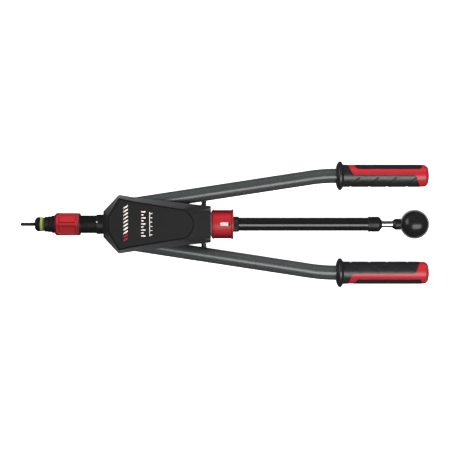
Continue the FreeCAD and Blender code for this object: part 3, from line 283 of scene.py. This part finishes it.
def build(name, points, faces):
    """A mesh object from points in millimetres, with its faces turned outwards."""
    mesh = bpy.data.meshes.new(name)
    mesh.from_pydata([tuple(MM * c for c in point) for point in points], [], faces)
    work = bmesh.new()
    work.from_mesh(mesh)
    bmesh.ops.recalc_face_normals(work, faces=work.faces)
    work.to_mesh(mesh)
    work.free()
    obj = bpy.data.objects.new(name, mesh)
    bpy.context.scene.collection.objects.link(obj)
    return obj


def keep(obj, node, slot=None, stands_for=(), finish=None):
    """Gives a new piece a CAD node's body and finish, and hides the nodes it stands for."""
    slot = slot or SLOT_OF[node]
    obj.data.materials.append(SHADERS[finish or slot])
    for face in obj.data.polygons:
        face.use_smooth = True
    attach(obj, BODY_OF[node])
    if stands_for:
        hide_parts(*stands_for)


ARC_STEP = math.radians(18)


def round_corners(corners, radius, closed, step=ARC_STEP):
    """The outline with arcs at its corners. A corner's third value is a radius of its own."""
    outline = []
    count = len(corners)
    for i, corner in enumerate(corners):
        here = Vector(corner[:2])
        if not closed and i in (0, count - 1):
            outline.append(here)
            continue
        back, ahead = Vector(corners[i - 1][:2]) - here, Vector(corners[(i + 1) % count][:2]) - here
        turn = math.pi - back.angle(ahead)
        wanted = corner[2] if len(corner) > 2 else radius
        if turn < math.radians(4) or wanted <= 0:  # nearly straight, or wanted sharp
            outline.append(here)
            continue
        reach = min(wanted * math.tan(turn / 2), 0.49 * back.length, 0.49 * ahead.length)
        r = reach / math.tan(turn / 2)
        start, end = here + back.normalized() * reach, here + ahead.normalized() * reach
        inwards = (back.normalized() + ahead.normalized()).normalized()
        middle = here + inwards * (r / math.cos(turn / 2))
        pieces = max(2, math.ceil(turn / step))
        first, last = start - middle, end - middle
        for k in range(pieces + 1):  # a turn of nearly 180 degrees has no arc
            t = k / pieces
            way = first * math.sin((1 - t) * turn) + last * math.sin(t * turn)
            outline.append(middle + way / math.sin(turn) if turn < 3.1 else start.lerp(end, t))
    return outline


def finer(outline, spacing, closed):
    """The outline with its long stretches cut to at most the spacing."""
    cut = []
    count = len(outline)
    for i in range(count if closed else count - 1):
        start, end = outline[i], outline[(i + 1) % count]
        pieces = max(1, math.ceil((end - start).length / spacing))
        cut += [start.lerp(end, k / pieces) for k in range(pieces)]
    return cut if closed else cut + [outline[-1]]


def lathe(name, corners, origin, edge=0.3, columns=96, spacing=None, shape=None, closed=True):
    """A turned piece about an axis along X, from corners (x, radius) in millimetres.

    edge rounds the corners, spacing cuts long stretches, and shape(x, angle, radius) may change
    the radius.
    """
    outline = round_corners(corners, edge, closed)
    if spacing:
        outline = finer(outline, spacing, closed)
    origin = Vector(origin)
    points, rings, faces = [], [], []
    for x, radius in outline:
        if radius < 1e-6:  # a point on the axis
            rings.append([len(points)] * columns)
            points.append(origin + Vector((x, 0, 0)))
            continue
        rings.append(list(range(len(points), len(points) + columns)))
        for k in range(columns):
            angle = 2 * math.pi * k / columns
            r = shape(x, angle, radius) if shape else radius
            points.append(origin + Vector((x, r * math.cos(angle), r * math.sin(angle))))
    for a, b in zip(rings, rings[1:] + rings[:1] if closed else rings[1:]):
        for k in range(columns):
            after = (k + 1) % columns
            corner_ids = list(dict.fromkeys((a[k], a[after], b[after], b[k])))
            if len(corner_ids) > 2:
                faces.append(corner_ids)
    return build(name, points, faces)


def smooth_normals(obj):
    """Shades the piece by its larger faces, so that flats stay flat next to rounded edges."""
    obj.modifiers.new("Normals", "WEIGHTED_NORMAL").keep_sharp = True
    return obj


def hexagon(angle, flat, corner):
    """Radius of a hexagon with a flat facing +Y and rounded corners, at an angle from +Y."""
    sixth = math.pi / 3
    off = abs((angle + sixth / 2) % sixth - sixth / 2)
    inner = flat - corner
    if flat * math.tan(off) <= inner * math.tan(sixth / 2):
        return flat / math.cos(off)
    away = inner / math.cos(sixth / 2)
    skew = sixth / 2 - off
    return away * math.cos(skew) + math.sqrt(max(corner**2 - (away * math.sin(skew)) ** 2, 0))


def ease(value, low, high):
    """0 below low, 1 above high, and a smooth rise between."""
    t = min(max((value - low) / (high - low), 0.0), 1.0)
    return t * t * (3 - 2 * t)


# ---------------------------------------------------------------- carried-over CAD nodes
# Widths of the softened edges, in millimetres, and the one finish that isn't its slot's own.
SMALL_EDGE = 0.25
EDGE_WIDTH = {"upper_shell": 1.6, "lower_shell": 1.6, "cover_panel": 0.3, "stroke_ring": 0.35}
FINISH_OF = {"cover_panel": "panel_plastic"}


def dress_node(name):
    """Gives a CAD node its material, soft edges and clean shading."""
    node = NODES[name]
    node.data.materials.clear()
    node.data.materials.append(SHADERS[FINISH_OF.get(name, SLOT_OF[name])])
    for face in node.data.polygons:
        face.use_smooth = True
    weld = node.modifiers.new("Weld", "WELD")
    weld.merge_threshold = 0.002 * MM
    flat = node.modifiers.new("Flat", "DECIMATE")
    flat.decimate_type = "DISSOLVE"
    flat.angle_limit = math.radians(0.6)
    bevel = node.modifiers.new("Bevel", "BEVEL")
    bevel.width = EDGE_WIDTH.get(name, SMALL_EDGE) * MM
    bevel.segments = 3
    bevel.limit_method = "ANGLE"
    bevel.angle_limit = math.radians(32)
    bevel.use_clamp_overlap = True
    bevel.miter_outer = "MITER_ARC"
    bevel.harden_normals = False
    smooth_normals(node)


# ---------------------------------------------------------------- nose
def make_mandrel():
    """Threaded draw mandrel with a plain shank and a hexagonal drive head."""
    low, high = span("mandrel")
    reach, end = -low.x, high.x - low.x
    radius, pitch, depth, tip, shank = 2.5, 0.8, 0.28, 1.35, 3.0
    head, flat = end - 7.6, high.z

    def shape(x, angle, r):
        if x > head + 0.05:
            return min(r, hexagon(angle, flat, 0.3))
        if x > reach - 0.6:
            return r
        phase = (x / pitch - angle / (2 * math.pi)) % 1
        tooth = min(abs(phase - 0.5) * 2 * 1.15, 1.0)
        threaded = ease(x, 0.3, 1.2) * (1 - ease(x, reach - 2.2, reach - 0.8))
        return r - depth * tooth * threaded

    corners = [(0, 0), (0, tip, 0.3), (1.5, radius, 0.3), (reach, radius, 0.1), (reach, shank, 0.2),
               (head, shank, 0.2), (head, high.y, 0.4), (end, high.y, 0.5), (end, 0)]
    obj = lathe("mandrel_fine", corners, (low.x, 0, 0), columns=48, spacing=pitch / 8, shape=shape,
                closed=False)
    keep(smooth_normals(obj), "mandrel", stands_for=["mandrel"])


def make_anvil():
    """Steel nose piece with a coned face; the size ring sits in its groove, its rear in painted
    shade.
    """
    low, high = span("anvil")
    ring_low, ring_high = span("size_ring")
    front, back = ring_low.x - low.x, ring_high.x - low.x
    length, outer, seat, neck, hole, face, cone = high.x - low.x, high.y, 8.2, 6.5, 3.1, 6.2, 7.7
    corners = [(0, hole, 0.4), (0, face, 0.6), (1.0, cone, 0.8), (3.6, outer, 1.0),
               (front, outer, 0.25), (front, seat, 0.1), (back, seat, 0.1), (back, neck, 0.1),
               (length, neck, 0.4), (length, hole, 0.3)]
    keep(smooth_normals(lathe("anvil_fine", corners, (low.x, 0, 0))),
         "anvil", stands_for=["anvil"])
    width, rim, gap = ring_high.x - ring_low.x, ring_high.y, 0.02
    inner, split, end = seat + gap, 0.56 * width, width - gap
    # the ring's front in its own green, its rear in a darker copy of that green: painted shade
    pale = [(gap, inner, 0.1), (gap, rim, 0.7), (split, rim, 0.4), (split, inner, 0.1)]
    dark = [(split + gap, inner, 0.1), (split + gap, rim - 0.5, 0.2), (end, rim - 0.6, 0.4),
            (end, inner, 0.1)]
    keep(smooth_normals(lathe("size_ring_fine", pale, (ring_low.x, 0, 0))), "size_ring",
         stands_for=["size_ring"])
    keep(smooth_normals(lathe("size_ring_shaded_rear", dark, (ring_low.x, 0, 0))), "size_ring",
         finish="lime_ring_shade")


def make_holder():
    """Nose holder: fine grip rings in front, a step and a flange against the collar."""
    low, high = span("nose_holder")
    collar = span("lock_collar")[0].x - low.x
    length, flange, front, step = high.x - low.x, high.y, 10.4, 10.8
    step_at, flange_at = 18.2 - low.x, 23.2 - low.x  # places on the tool's axis
    thread, bore, mouth = 9.5, 7.2, 6.52
    anvil_end = span("anvil")[1].x - low.x + 0.5
    rings_from, ring_pitch, ring_depth = 1.0, 1.18, 0.28

    def shape(x, angle, r):
        if r < front - 0.2 or not rings_from < x < step_at - 1.0:
            return r
        return r - ring_depth * (0.5 - 0.5 * math.cos(2 * math.pi * (x - rings_from) / ring_pitch))

    corners = [(0.02, mouth, 0.1), (0.02, front, 0.4), (step_at - 0.5, front), (step_at, step, 0.3),
               (flange_at - 1.0, step), (flange_at, flange - 0.5, 0.3),
               (flange_at + 0.6, flange, 0.3), (collar - 0.2, flange, 0.3),
               (collar - 0.2, thread, 0.1), (length, thread, 0.5),
               (length, bore, 0.3), (anvil_end, bore, 0.1), (anvil_end, mouth, 0.1)]
    obj = lathe("nose_holder_fine", corners, (low.x, 0, 0), spacing=0.2, shape=shape, columns=72)
    keep(smooth_normals(obj), "nose_holder", stands_for=["nose_holder"])


def make_barrel():
    """Slim barrel that slides in the guide, with an engraved travel scale on one side."""
    low, high = span("barrel")
    collar_end = span("collar_wiper")[1].x - low.x
    guide = span("front_guide")[0].x - low.x
    length, outer = high.x - low.x, high.y
    shoulder, thread, bore, thread_end, spigot = 62.0, 9.5, 7.2, 17.0, 9.0
    pitch, line, depth = 2.4, 0.5, 0.22
    start, short, long = 84, 158, 172  # degrees round the barrel that the scale's lines run

    def shape(x, angle, r):
        side = math.degrees(angle) % 360
        in_scale = collar_end + 1.0 < x < guide + 12.0 and start < side
        if r < outer - 0.05 or not in_scale:
            return r
        index = round((x - collar_end) / pitch)
        reach = long if index % 2 else short
        if side > reach:
            return r
        off = abs(x - collar_end - index * pitch)
        along = ease(side, start, start + 6) * (1 - ease(side, reach - 4, reach))
        return r - depth * (1 - ease(off, line * 0.5, line)) * along

    corners = [(0, thread, 0.2), (0, outer - 0.8, 0.2), (0.8, outer, 0.4), (shoulder, outer, 0.5),
               (shoulder, spigot, 0.2), (length, spigot, 0.5), (length, bore, 0.3),
               (thread_end, bore, 0.1), (thread_end, thread, 0.1)]
    obj = lathe("barrel_fine", corners, (low.x, 0, 0), spacing=0.25, shape=shape, columns=120)
    keep(smooth_normals(obj), "barrel", stands_for=["barrel"])


def make_collar():
    """Hexagonal lock collar: a thumb recess in each flat, a rear rim in painted shade, and its
    wiper.
    """
    low, high = span("lock_collar")
    length, flat, point = high.x - low.x, high.y, high.z
    bore, lip, lip_bore, rear_bore, rear = 12.25, 3.0, 9.7, 13.6, 2.6
    edge, gap = length - 1.3, 0.02  # the rim in painted shade starts at the edge
    recess_depth, groove_depth, corner_radius = 1.15, 0.7, 2.6
    sixth = math.pi / 3

    def shape(x, angle, r):
        if r < bore + 1.5:
            return r
        cone = flat - 3.0 + 3.3 * ease(x, -0.4, 3.0) + 1.4 * ease(x, 2.5, 6.0)
        rim = point - 1.0 * ease(x, length - 2.4, length)
        across_flats = flat * (0.985 if x > length - rear else 1.0)
        section = min(hexagon(angle, across_flats, corner_radius), cone, rim)
        off = (angle + sixth / 2) % sixth - sixth / 2
        across = abs(flat * math.tan(off))
        lengthwise = ease(x, 5.6, 7.0) * (1 - ease(x, length - 6.4, length - 5.0))
        hollow = lengthwise * (1 - ease(across, 5.4, 6.6))
        groove = ease(x, length - 3.9, length - 3.3) * (1 - ease(x, length - 2.9, length - 2.4))
        return min(section, r) - recess_depth * hollow - groove_depth * groove

    corners = [(0, lip_bore, 0.2), (0, flat - 3.0, 0.4), (0.7, point, 0.1), (edge, point, 0.1),
               (edge, rear_bore, 0.1), (length - rear, rear_bore, 0.1), (length - rear, bore, 0.2),
               (lip, bore, 0.2), (lip, lip_bore, 0.2)]
    obj = lathe("lock_collar_fine", corners, (low.x, 0, 0), spacing=0.45, shape=shape, columns=180)
    keep(smooth_normals(obj), "lock_collar", stands_for=["lock_collar"])
    # the rear rim in a darker red: painted shade
    corners = [(edge + gap, rear_bore, 0.1), (edge + gap, point, 0.1), (length, point, 0.3),
               (length, rear_bore, 0.2)]
    obj = lathe("lock_collar_shaded_rim", corners, (low.x, 0, 0), spacing=0.3, shape=shape, columns=180)
    keep(smooth_normals(obj), "lock_collar", finish="red_rim_shade")

    low, high = span("collar_wiper")
    width, outer, inner = high.x - low.x, high.y, 12.15
    wiper = [(0, inner, 0.2), (0, outer, 0.4), (width - 0.6, outer, 0.3), (width, outer - 0.5, 0.2),
             (width, inner, 0.2)]
    keep(smooth_normals(lathe("collar_wiper_fine", wiper, (low.x, 0, 0))), "collar_wiper",
         stands_for=["collar_wiper"])


def make_stop_nut():
    """The white stop nut behind the stroke ring's window, and the key that moves it."""
    low, high = span("stop_nut")
    length, outer, bore = high.x - low.x, high.y, 15.05
    sleeve = [(0, bore, 0.3), (0, outer, 0.3), (length, outer, 0.3), (length, bore, 0.3)]
    keep(smooth_normals(lathe("stop_nut_fine", sleeve, (low.x, 0, 0))), "stop_nut",
         stands_for=["stop_nut"])
    deep, half, front, back = -low.z, 1.5, low.x + 6.2, low.x + length - 1.5
    key = [(front, -half), (back, -half), (back, half), (front, half)]
    points = [(x, y, z) for z in (-deep, -outer + 0.6) for x, y in key]
    faces = [[0, 1, 2, 3], [4, 5, 6, 7]]
    faces += [[k, (k + 1) % 4, (k + 1) % 4 + 4, k + 4] for k in range(4)]
    tongue = build("stop_nut_key", points, faces)
    soft = tongue.modifiers.new("Bevel", "BEVEL")
    soft.width, soft.segments = 0.3 * MM, 2
    keep(smooth_normals(tongue), "stop_nut", slot="dark_steel")


def make_bumpers():
    """Rubber posts with a waist, cut at the slope of the closed levers that rest on them."""
    low, high = span("lever_bumpers")
    tube_low, tube_high = span("right_lever_tube")
    middle, slope = (low.x + high.x) / 2, math.tan(math.radians(8.7))  # of a closed lever
    pivot_x, pivot_y, tube = 117.0, 24.0, (tube_high.z - tube_low.z) / 2
    touch = pivot_y + (middle - pivot_x) * slope - tube / math.cos(math.atan(slope)) - 0.08
    root, shell, stem, waist = 20.2, 25.4, 2.5, 3.1
    for side, sign in (("right", 1), ("left", -1)):
        corners = [(root, 0), (root, stem, 0.2), (shell + 0.9, stem, 0.1), (shell + 0.9, 4.0, 0.4),
                   (shell + 1.7, 3.7, 0.5), (shell + 2.9, waist, 1.5), (touch - 1.8, waist, 1.2),
                   (touch - 0.8, 3.9, 0.5), (touch, 3.8, 0.3), (touch, 0)]
        obj = lathe(f"{side}_bumper_fine", corners, (0, 0, 0), columns=48, closed=False)
        for vertex in obj.data.vertices:
            along, u, v = vertex.co / MM
            along += slope * u * ease(along, touch - 1.6, touch)
            vertex.co = Vector((middle + u, sign * along, v)) * MM
        if sign > 0:  # this one came out as a mirror image, so its faces look inwards
            obj.data.flip_normals()
        keep(smooth_normals(obj), "lever_bumpers", stands_for=["lever_bumpers"])


# ---------------------------------------------------------------- guide tube and knob
def make_tube():
    """Guide tube with its knurled nut and the end cap that the rod slides in."""
    low, high = span("guide_tube")
    length, outer, bore = high.x - low.x, 9.0, 7.2
    corners = [(0, bore, 0.2), (0, high.y, 0.3), (1.5, high.y, 0.3), (1.5, outer, 0.2),
               (length, outer, 0.4), (length, bore, 0.3)]
    obj = lathe("guide_tube_fine", corners, (low.x, 0, 0), columns=128)
    keep(smooth_normals(obj), "guide_tube", stands_for=["guide_tube"])

    low, high = span("tube_nut")
    ring = span("stroke_ring")[1].x - low.x
    length, top, skirt, head = high.x - low.x, high.y, 9.5, ring - 1.5
    teeth, tooth_depth = 44, 0.42

    def knurl(x, angle, r):
        cut = (0.5 + 0.5 * math.cos(teeth * angle)) * ease(r, top - 0.6, top - 0.1)
        lengthwise = ease(x, ring + 0.2, ring + 0.9) * (1 - ease(x, length - 1.5, length - 0.8))
        return r - tooth_depth * cut * lengthwise

    corners = [(0, outer + 0.05, 0.2), (0, skirt, 0.3), (head, skirt, 0.1), (head, top - 0.4, 0.3),
               (head + 0.4, top, 0.2), (length - 0.8, top, 0.3), (length, top - 0.8, 0.3),
               (length, outer + 0.05, 0.2)]
    obj = lathe("tube_nut_fine", corners, (low.x, 0, 0), columns=teeth * 8, spacing=0.6,
                shape=knurl)
    keep(smooth_normals(obj), "tube_nut", stands_for=["tube_nut"])

    low, high = span("tube_end_cap")
    length, top = high.x - low.x, high.y
    shoulder, socket, groove = 14.9, outer + 0.03, top - 0.35
    hole = span("twist_rod")[1].y + 0.15
    corners = [(0, socket, 0.15), (0, top - 0.5, 0.3), (0.6, top, 0.3), (3.4, top, 0.2),
               (3.7, groove, 0.2), (4.5, groove, 0.2), (4.8, top, 0.2), (shoulder, top, 1.4),
               (length - 0.7, 6.0, 0.8), (length, 5.2, 0.3), (length, hole, 0.2), (8, hole, 0.1),
               (8, socket, 0.1)]
    obj = lathe("tube_end_cap_fine", corners, (low.x, 0, 0), columns=128)
    keep(smooth_normals(obj), "tube_end_cap", stands_for=["tube_end_cap"])


def make_knob():
    """Ball knob on the rod's threaded end, held against a tapered collar."""
    low, high = span("knob_collar")
    length, top, rod, stud = high.x - low.x, high.y, span("twist_rod")[1].y, 3.0
    rod_end = 6.6
    corners = [(0, rod + 0.02, 0.1), (0, rod + 0.5, 0.2), (3.6, top, 0.8), (length - 0.6, top, 0.3),
               (length, top - 0.6, 0.2), (length, stud + 0.05, 0.1), (rod_end, stud + 0.05, 0.1),
               (rod_end, rod + 0.02, 0.1)]
    keep(smooth_normals(lathe("knob_collar_fine", corners, (low.x, 0, 0))), "knob_collar",
         stands_for=["knob_collar"])

    low, high = span("ball_knob")
    radius, flat, bore, bore_end, steps = high.z, 6.8, 3.1, 16.0, 72
    centre = math.sqrt(radius**2 - flat**2)
    seat = math.asin(flat / radius)
    corners = [(bore_end, 0), (bore_end, bore, 0.1), (0, bore, 0.1), (0, flat - 0.4, 0.3)]
    for k in range(steps):
        turn = seat + (math.pi - seat) * k / steps
        corners.append((centre - radius * math.cos(turn), radius * math.sin(turn), 0))
    corners.append((centre + radius, 0))
    line_depth = 0.06

    def parting(x, angle, r):
        line = 1 - ease(abs(math.sin(angle)) * r, 0.10, 0.30)
        return r - line_depth * line * ease(r, 8.0, 10.0)

    obj = lathe("ball_knob_fine", corners, (low.x, 0, 0), columns=160, shape=parting, closed=False)
    keep(smooth_normals(obj), "ball_knob", stands_for=["ball_knob"])


# ---------------------------------------------------------------- grips
def cut_along(mesh, front, start, end):
    """Cuts the mesh with the upright plane through two points (u, v) of the grip's plan."""
    (u1, v1), (u2, v2) = start, end
    across = Vector((v2 - v1, u1 - u2, 0)).normalized()
    margin = 0.7  # a little more than a face's length
    low, high = min(u1, u2) - margin, max(u1, u2) + margin
    near = [f for f in mesh.faces if low < f.calc_center_median().x / MM - front < high]
    geometry = set(near)
    for face in near:
        geometry.update(face.verts)
        geometry.update(face.edges)
    bmesh.ops.bisect_plane(mesh, geom=list(geometry), dist=1e-7, plane_no=across,
                           plane_co=Vector((front + u1, v1, 0)) * MM)


def in_polygon(u, v, corners):
    """True where a point of the plan is inside the corners."""
    inside = False
    for (u1, v1), (u2, v2) in zip(corners, corners[1:] + corners[:1]):
        if (v1 > v) != (v2 > v) and u < u1 + (v - v1) / (v2 - v1) * (u2 - u1):
            inside = not inside
    return inside


def make_grip(side):
    """Two-colour grip: a hand guard and grooved rubber, a red band and end, and a rubber strip."""
    sign = 1 if side == "right" else -1
    core_high = span(f"{side}_grip_core")[1]
    rubber_low, rubber_high = span(f"{side}_grip_rubber")
    front, length = rubber_low.x, core_high.x - rubber_low.x
    centre = (rubber_low.y + rubber_high.y) / 2
    guard, body, tube = rubber_high.z, core_high.z, 10.0
    wide = guard + 1.0  # past the outside of the grip
    guard_end = 11.0

    # u runs along the grip from its front, v outwards across it
    red_area = [(12.6, wide), (20.6, 4.4), (22.0, 2.2), (24.4, 1.1), (length - 21.6, 1.0),
                (length - 19.6, 0.0), (length - 18.2, -2.6), (length - 10.4, -wide),
                (length + 2, -wide), (length + 2, wide)]
    strip_area = [(21.6, wide), (26.6, 11.0), (28.0, 9.6), (30.0, 9.1), (length - 13.6, 9.1),
                  (length - 11.9, 9.7), (length - 10.4, 12.0), (length - 9.4, wide)]
    grooves, groove_depth, groove_lean = (19.7, 45.2, 69.6, 97.0), 0.8, 0.9

    def shape(u, angle, r):
        if not 10.5 < u < length - 6:
            return r
        v = r * math.cos(angle)
        inner = 1 - ease(v, -4.5, -0.5)
        drop = 0.0
        for place in grooves:
            off = abs(u - place - groove_lean * (v + body))
            drop = max(drop, groove_depth * (1 - ease(off, 0.2, 1.8)))
        return r - drop * inner

    corners = [(0, tube + 0.05, 0.1), (0, 12.6, 0.8), (0.9, 15.8, 3.0), (3.0, guard - 0.7, 1.4),
               (4.4, guard, 0.9), (6.8, guard - 0.1, 1.2), (8.0, guard - 2.2, 1.0),
               (8.6, body + 1.0, 1.0), (9.9, body, 0.8), (length - 5.2, body, 4.0),
               (length - 1.6, body - 3.4, 3.4), (length - 0.2, body - 9.6, 6.0), (length, 0)]
    skin = lathe(f"{side}_grip_skin", corners, (front, 0, 0), columns=144, spacing=0.55,
                 shape=shape, closed=False)
    whole = bmesh.new()
    whole.from_mesh(skin.data)
    bpy.data.objects.remove(skin)
    for area in (red_area, strip_area):
        for (u1, v1), (u2, v2) in zip(area, area[1:]):
            cut_along(whole, front, (u1, v1), (u2, v2))

    def kind(face):
        """Which of the grip's three mouldings a face belongs to."""
        place = face.calc_center_median() / MM
        u, v = place.x - front, place.y
        if u < guard_end or not in_polygon(u, v, red_area):
            return "rubber"
        return "pad" if in_polygon(u, v, strip_area) else "core"

    groups = {"rubber": 0.0, "core": -0.3, "pad": 0.0}  # and how far each stands proud
    for face in whole.faces:
        face.material_index = list(groups).index(kind(face))
    for index, (group, lift) in enumerate(groups.items()):
        part = whole.copy()
        others = [face for face in part.faces if face.material_index != index]
        bmesh.ops.delete(part, geom=others, context="FACES")
        for vertex in part.verts:
            u = vertex.co.x / MM - front
            radial = Vector((0, vertex.co.y, vertex.co.z))
            if radial.length > 1e-6:
                vertex.co += radial.normalized() * lift * MM * (1 - ease(u, length - 6, length - 2))
            vertex.co.y = sign * vertex.co.y + centre * MM
        for face in part.faces:
            face.material_index = 0
        if sign < 0:
            bmesh.ops.reverse_faces(part, faces=part.faces)
        name = f"{side}_grip_{group}"
        mesh = bpy.data.meshes.new(name + "_fine")
        part.to_mesh(mesh)
        part.free()
        obj = bpy.data.objects.new(name + "_fine", mesh)
        bpy.context.scene.collection.objects.link(obj)
        wall = obj.modifiers.new("Wall", "SOLIDIFY")
        wall.thickness = 1.3 * MM
        wall.offset = -1
        lips = obj.modifiers.new("Lips", "BEVEL")
        lips.width = 0.28 * MM
        lips.segments = 2
        lips.limit_method = "ANGLE"
        lips.angle_limit = math.radians(60)
        keep(smooth_normals(obj), name, stands_for=[name])
    whole.free()


# ---------------------------------------------------------------- housing print
PRINT_SUNK = 0.05  # how far print reaches into the face it is on, in millimetres


def flat_mark(name, outlines, height):
    """Thin raised print: each outline (x, y points in mm) becomes a closed plate at that height."""
    points, faces = [], []
    for outline in outlines:
        start, count = len(points), len(outline)
        for level in (height - PRINT_SUNK, height + 0.03):
            points += [(x, y, level) for x, y in outline]
        faces.append(list(range(start, start + count)))
        faces.append(list(range(start + count, start + 2 * count)))
        for k in range(count):
            after = (k + 1) % count
            faces.append([start + k, start + after, start + count + after, start + count + k])
    return build(name, points, faces)


def bar(x, y, width, height):
    """Rounded rectangle centred at x, y."""
    half_x, half_y = width / 2, height / 2
    corners = [(x - half_x, y - half_y), (x + half_x, y - half_y), (x + half_x, y + half_y),
               (x - half_x, y + half_y)]
    rounded = round_corners(corners, 0.35 * min(width, height), True, math.radians(30))
    return [tuple(point) for point in rounded]


def make_print():
    """Three columns of plain print across the cover panel: slanting bars, ticks and a rule."""
    low, high = span("cover_panel")
    bars, scale, rule = low.x + 23.8, low.x + 47.8, low.x + 58.0
    reach = 3.1  # half the width of the bars and the long ticks
    slant, half = 1.9, 1.1
    marks, red_marks = [], []
    for k in range(-2, 8):  # the lowest two bars are red
        y = -11.0 + 4.9 * k
        (red_marks if k < 0 else marks).append([
            (bars - reach, y - half - slant), (bars + reach, y - half + slant),
            (bars + reach, y + half + slant), (bars - reach, y + half - slant)])
    for k in range(9):  # long and short ticks by turns
        width = 2 * reach if k % 2 == 0 else 3.6
        marks.append(bar(scale - reach + width / 2, -16.0 + 4.1 * k, width, 1.6))
    marks.append(bar(rule - 1.6, 0.0, 0.9, 33.0))
    for k in range(6):
        marks.append(bar(rule + 0.6, -14.5 + 5.8 * k, 3.0, 1.0))
    keep(flat_mark("panel_print", marks, high.z), "cover_panel", slot="white_enamel")
    keep(flat_mark("panel_print_red", red_marks, high.z), "cover_panel", slot="red_plastic")


def make_index_mark():
    """White arrowhead on the guide's hub that the barrel's scale is read against."""
    front = span("front_guide")[0].x
    radius, rows, wide, long, side = 13.4, 6, 2.0, 2.0, 3.0
    points, faces = [], []
    for level in (radius - PRINT_SUNK, radius + 0.04):
        for i in range(rows + 1):
            across = wide * (i / rows - 0.5)
            reach = long * (1 - abs(2 * i / rows - 1))
            angle = (side + across) / radius
            for x in (front + 0.9, front + 1.0 + reach):
                points.append((x, level * math.sin(angle), level * math.cos(angle)))
    per = 2 * (rows + 1)
    for i in range(rows):
        a = 2 * i
        faces += [[a, a + 1, a + 3, a + 2], [per + a, per + a + 2, per + a + 3, per + a + 1],
                  [a, a + 2, per + a + 2, per + a], [a + 1, per + a + 1, per + a + 3, a + 3]]
    last = 2 * rows
    faces += [[0, per, per + 1, 1], [last, last + 1, per + last + 1, per + last]]
    keep(build("index_mark", points, faces), "front_guide", slot="white_enamel")


for node_name in NODES:
    dress_node(node_name)
make_mandrel()
make_anvil()
make_holder()
make_barrel()
make_collar()
make_tube()
make_knob()
for grip_side in ("right", "left"):
    make_grip(grip_side)
make_print()
make_index_mark()
make_stop_nut()
make_bumpers()


# ---------------------------------------------------------------- studio
FLOOR_GLOW = 1.0  # enough to hold the sheet an even white
VIEW_WIDTH, VIEW_CENTRE, VIEW_HEIGHT = 0.6167, (0.2602, -0.0010), 2.4  # metres
FAINT_SKY = 0.08  # the sky's light on the tool


def make_floor():
    """A large white sheet just under the tool. From below it can be seen through."""
    low = CAD_BOX[0][2]
    mesh = bpy.data.meshes.new("floor")
    left, right, near, far = -2, 2.6, -2, 2
    corners = [(left, near, low), (right, near, low), (right, far, low), (left, far, low)]
    mesh.from_pydata(corners, [], [(0, 1, 2, 3)])
    floor = bpy.data.objects.new("floor", mesh)
    bpy.context.scene.collection.objects.link(floor)
    g = Graph("studio_white")
    tone = g.spread(g.noise(g.add("TexCoord", "Object"), 3.0), 0.3, 0.7, 0.88, 0.90)
    sheet = g.add("BsdfPrincipled", Base_Color=g.add("CombineColor", i0=tone, i1=tone, i2=tone),
                  Roughness=0.9, Emission_Color=(1, 1, 1, 1), Emission_Strength=FLOOR_GLOW)
    shader = g.add("MixShader", i0=g.add("NewGeometry", "Backfacing"), i1=sheet,
                   i2=g.add("BsdfTransparent"))
    g.add("OutputMaterial", Surface=shader)
    mesh.materials.append(g.material)
    floor.visible_glossy = False
    floor.visible_diffuse = False
    floor.visible_shadow = False


def area_light(name, place, aim, size, power):
    """A softbox at place, turned to aim and unseen by the camera. Size is (along, across), in m."""
    data = bpy.data.lights.new(name, "AREA")
    data.shape = "RECTANGLE"
    data.size, data.size_y = size
    data.energy = power
    light = bpy.data.objects.new(name, data)
    bpy.context.scene.collection.objects.link(light)
    away = (Vector(place) - Vector(aim)).normalized()
    across = Vector((1, 0, 0))
    up = away.cross(across).normalized()
    light.matrix_world = Matrix((across, up, away)).transposed().to_4x4()
    light.location = place
    light.visible_camera = False
    return light


def make_lights():
    """A softbox overhead, one in front of the nose, fills at both sides and below, and the sky."""
    middle = (CAD_BOX[0][0] + CAD_BOX[1][0]) / 2
    area_light("overhead", (0.84, -0.34, 1.00), (0.84, 0, 0), (1.47, 0.62), 17)
    nose = area_light("nose_side", (-1.2, 0.55, 0.55), (0.1, 0, 0), (0.9, 1.2), 12)
    nose.visible_diffuse = False  # only puts its highlight on the knob and the collar's cone
    fills = (("far_side", (middle, 1.5, 0.7), 52), ("near_side", (middle, -1.7, 0.6), 13))
    for name, place, power in fills:
        side = area_light(name, place, (middle, 0, 0), (3.2, 0.9), power)
        side.visible_glossy = False  # fills the flanks without drawing extra highlights on them
    under = area_light("under", (middle, 0.01, -1.0), (middle, 0, 0), (3.2, 1.5), 50)
    under.visible_glossy = False  # shows the underside without bright rims in the view from above
    world = bpy.data.worlds.new("studio")
    world.use_nodes = True
    tree = world.node_tree
    sky, seen = tree.nodes["Background"], tree.nodes.new("ShaderNodeLightPath")
    level = tree.nodes.new("ShaderNodeMapRange")  # white where the camera looks past the floor
    level.inputs["To Min"].default_value = FAINT_SKY
    level.inputs["To Max"].default_value = 1.0
    tree.links.new(seen.outputs["Is Camera Ray"], level.inputs["Value"])
    tree.links.new(level.outputs["Result"], sky.inputs["Strength"])
    sky.inputs["Color"].default_value = (1, 1, 1, 1)
    bpy.context.scene.world = world


def make_camera():
    """Straight above the tool, with the nose at the left."""
    data = bpy.data.cameras.new("camera")
    data.sensor_width = 36.0
    data.lens = data.sensor_width * VIEW_HEIGHT / VIEW_WIDTH
    data.clip_start, data.clip_end = 0.05, 20.0
    camera = bpy.data.objects.new("camera", data)
    bpy.context.scene.collection.objects.link(camera)
    camera.location = (*VIEW_CENTRE, VIEW_HEIGHT)
    bpy.context.scene.camera = camera


make_floor()
make_lights()
make_camera()
bpy.context.scene.view_settings.view_transform = "Standard"
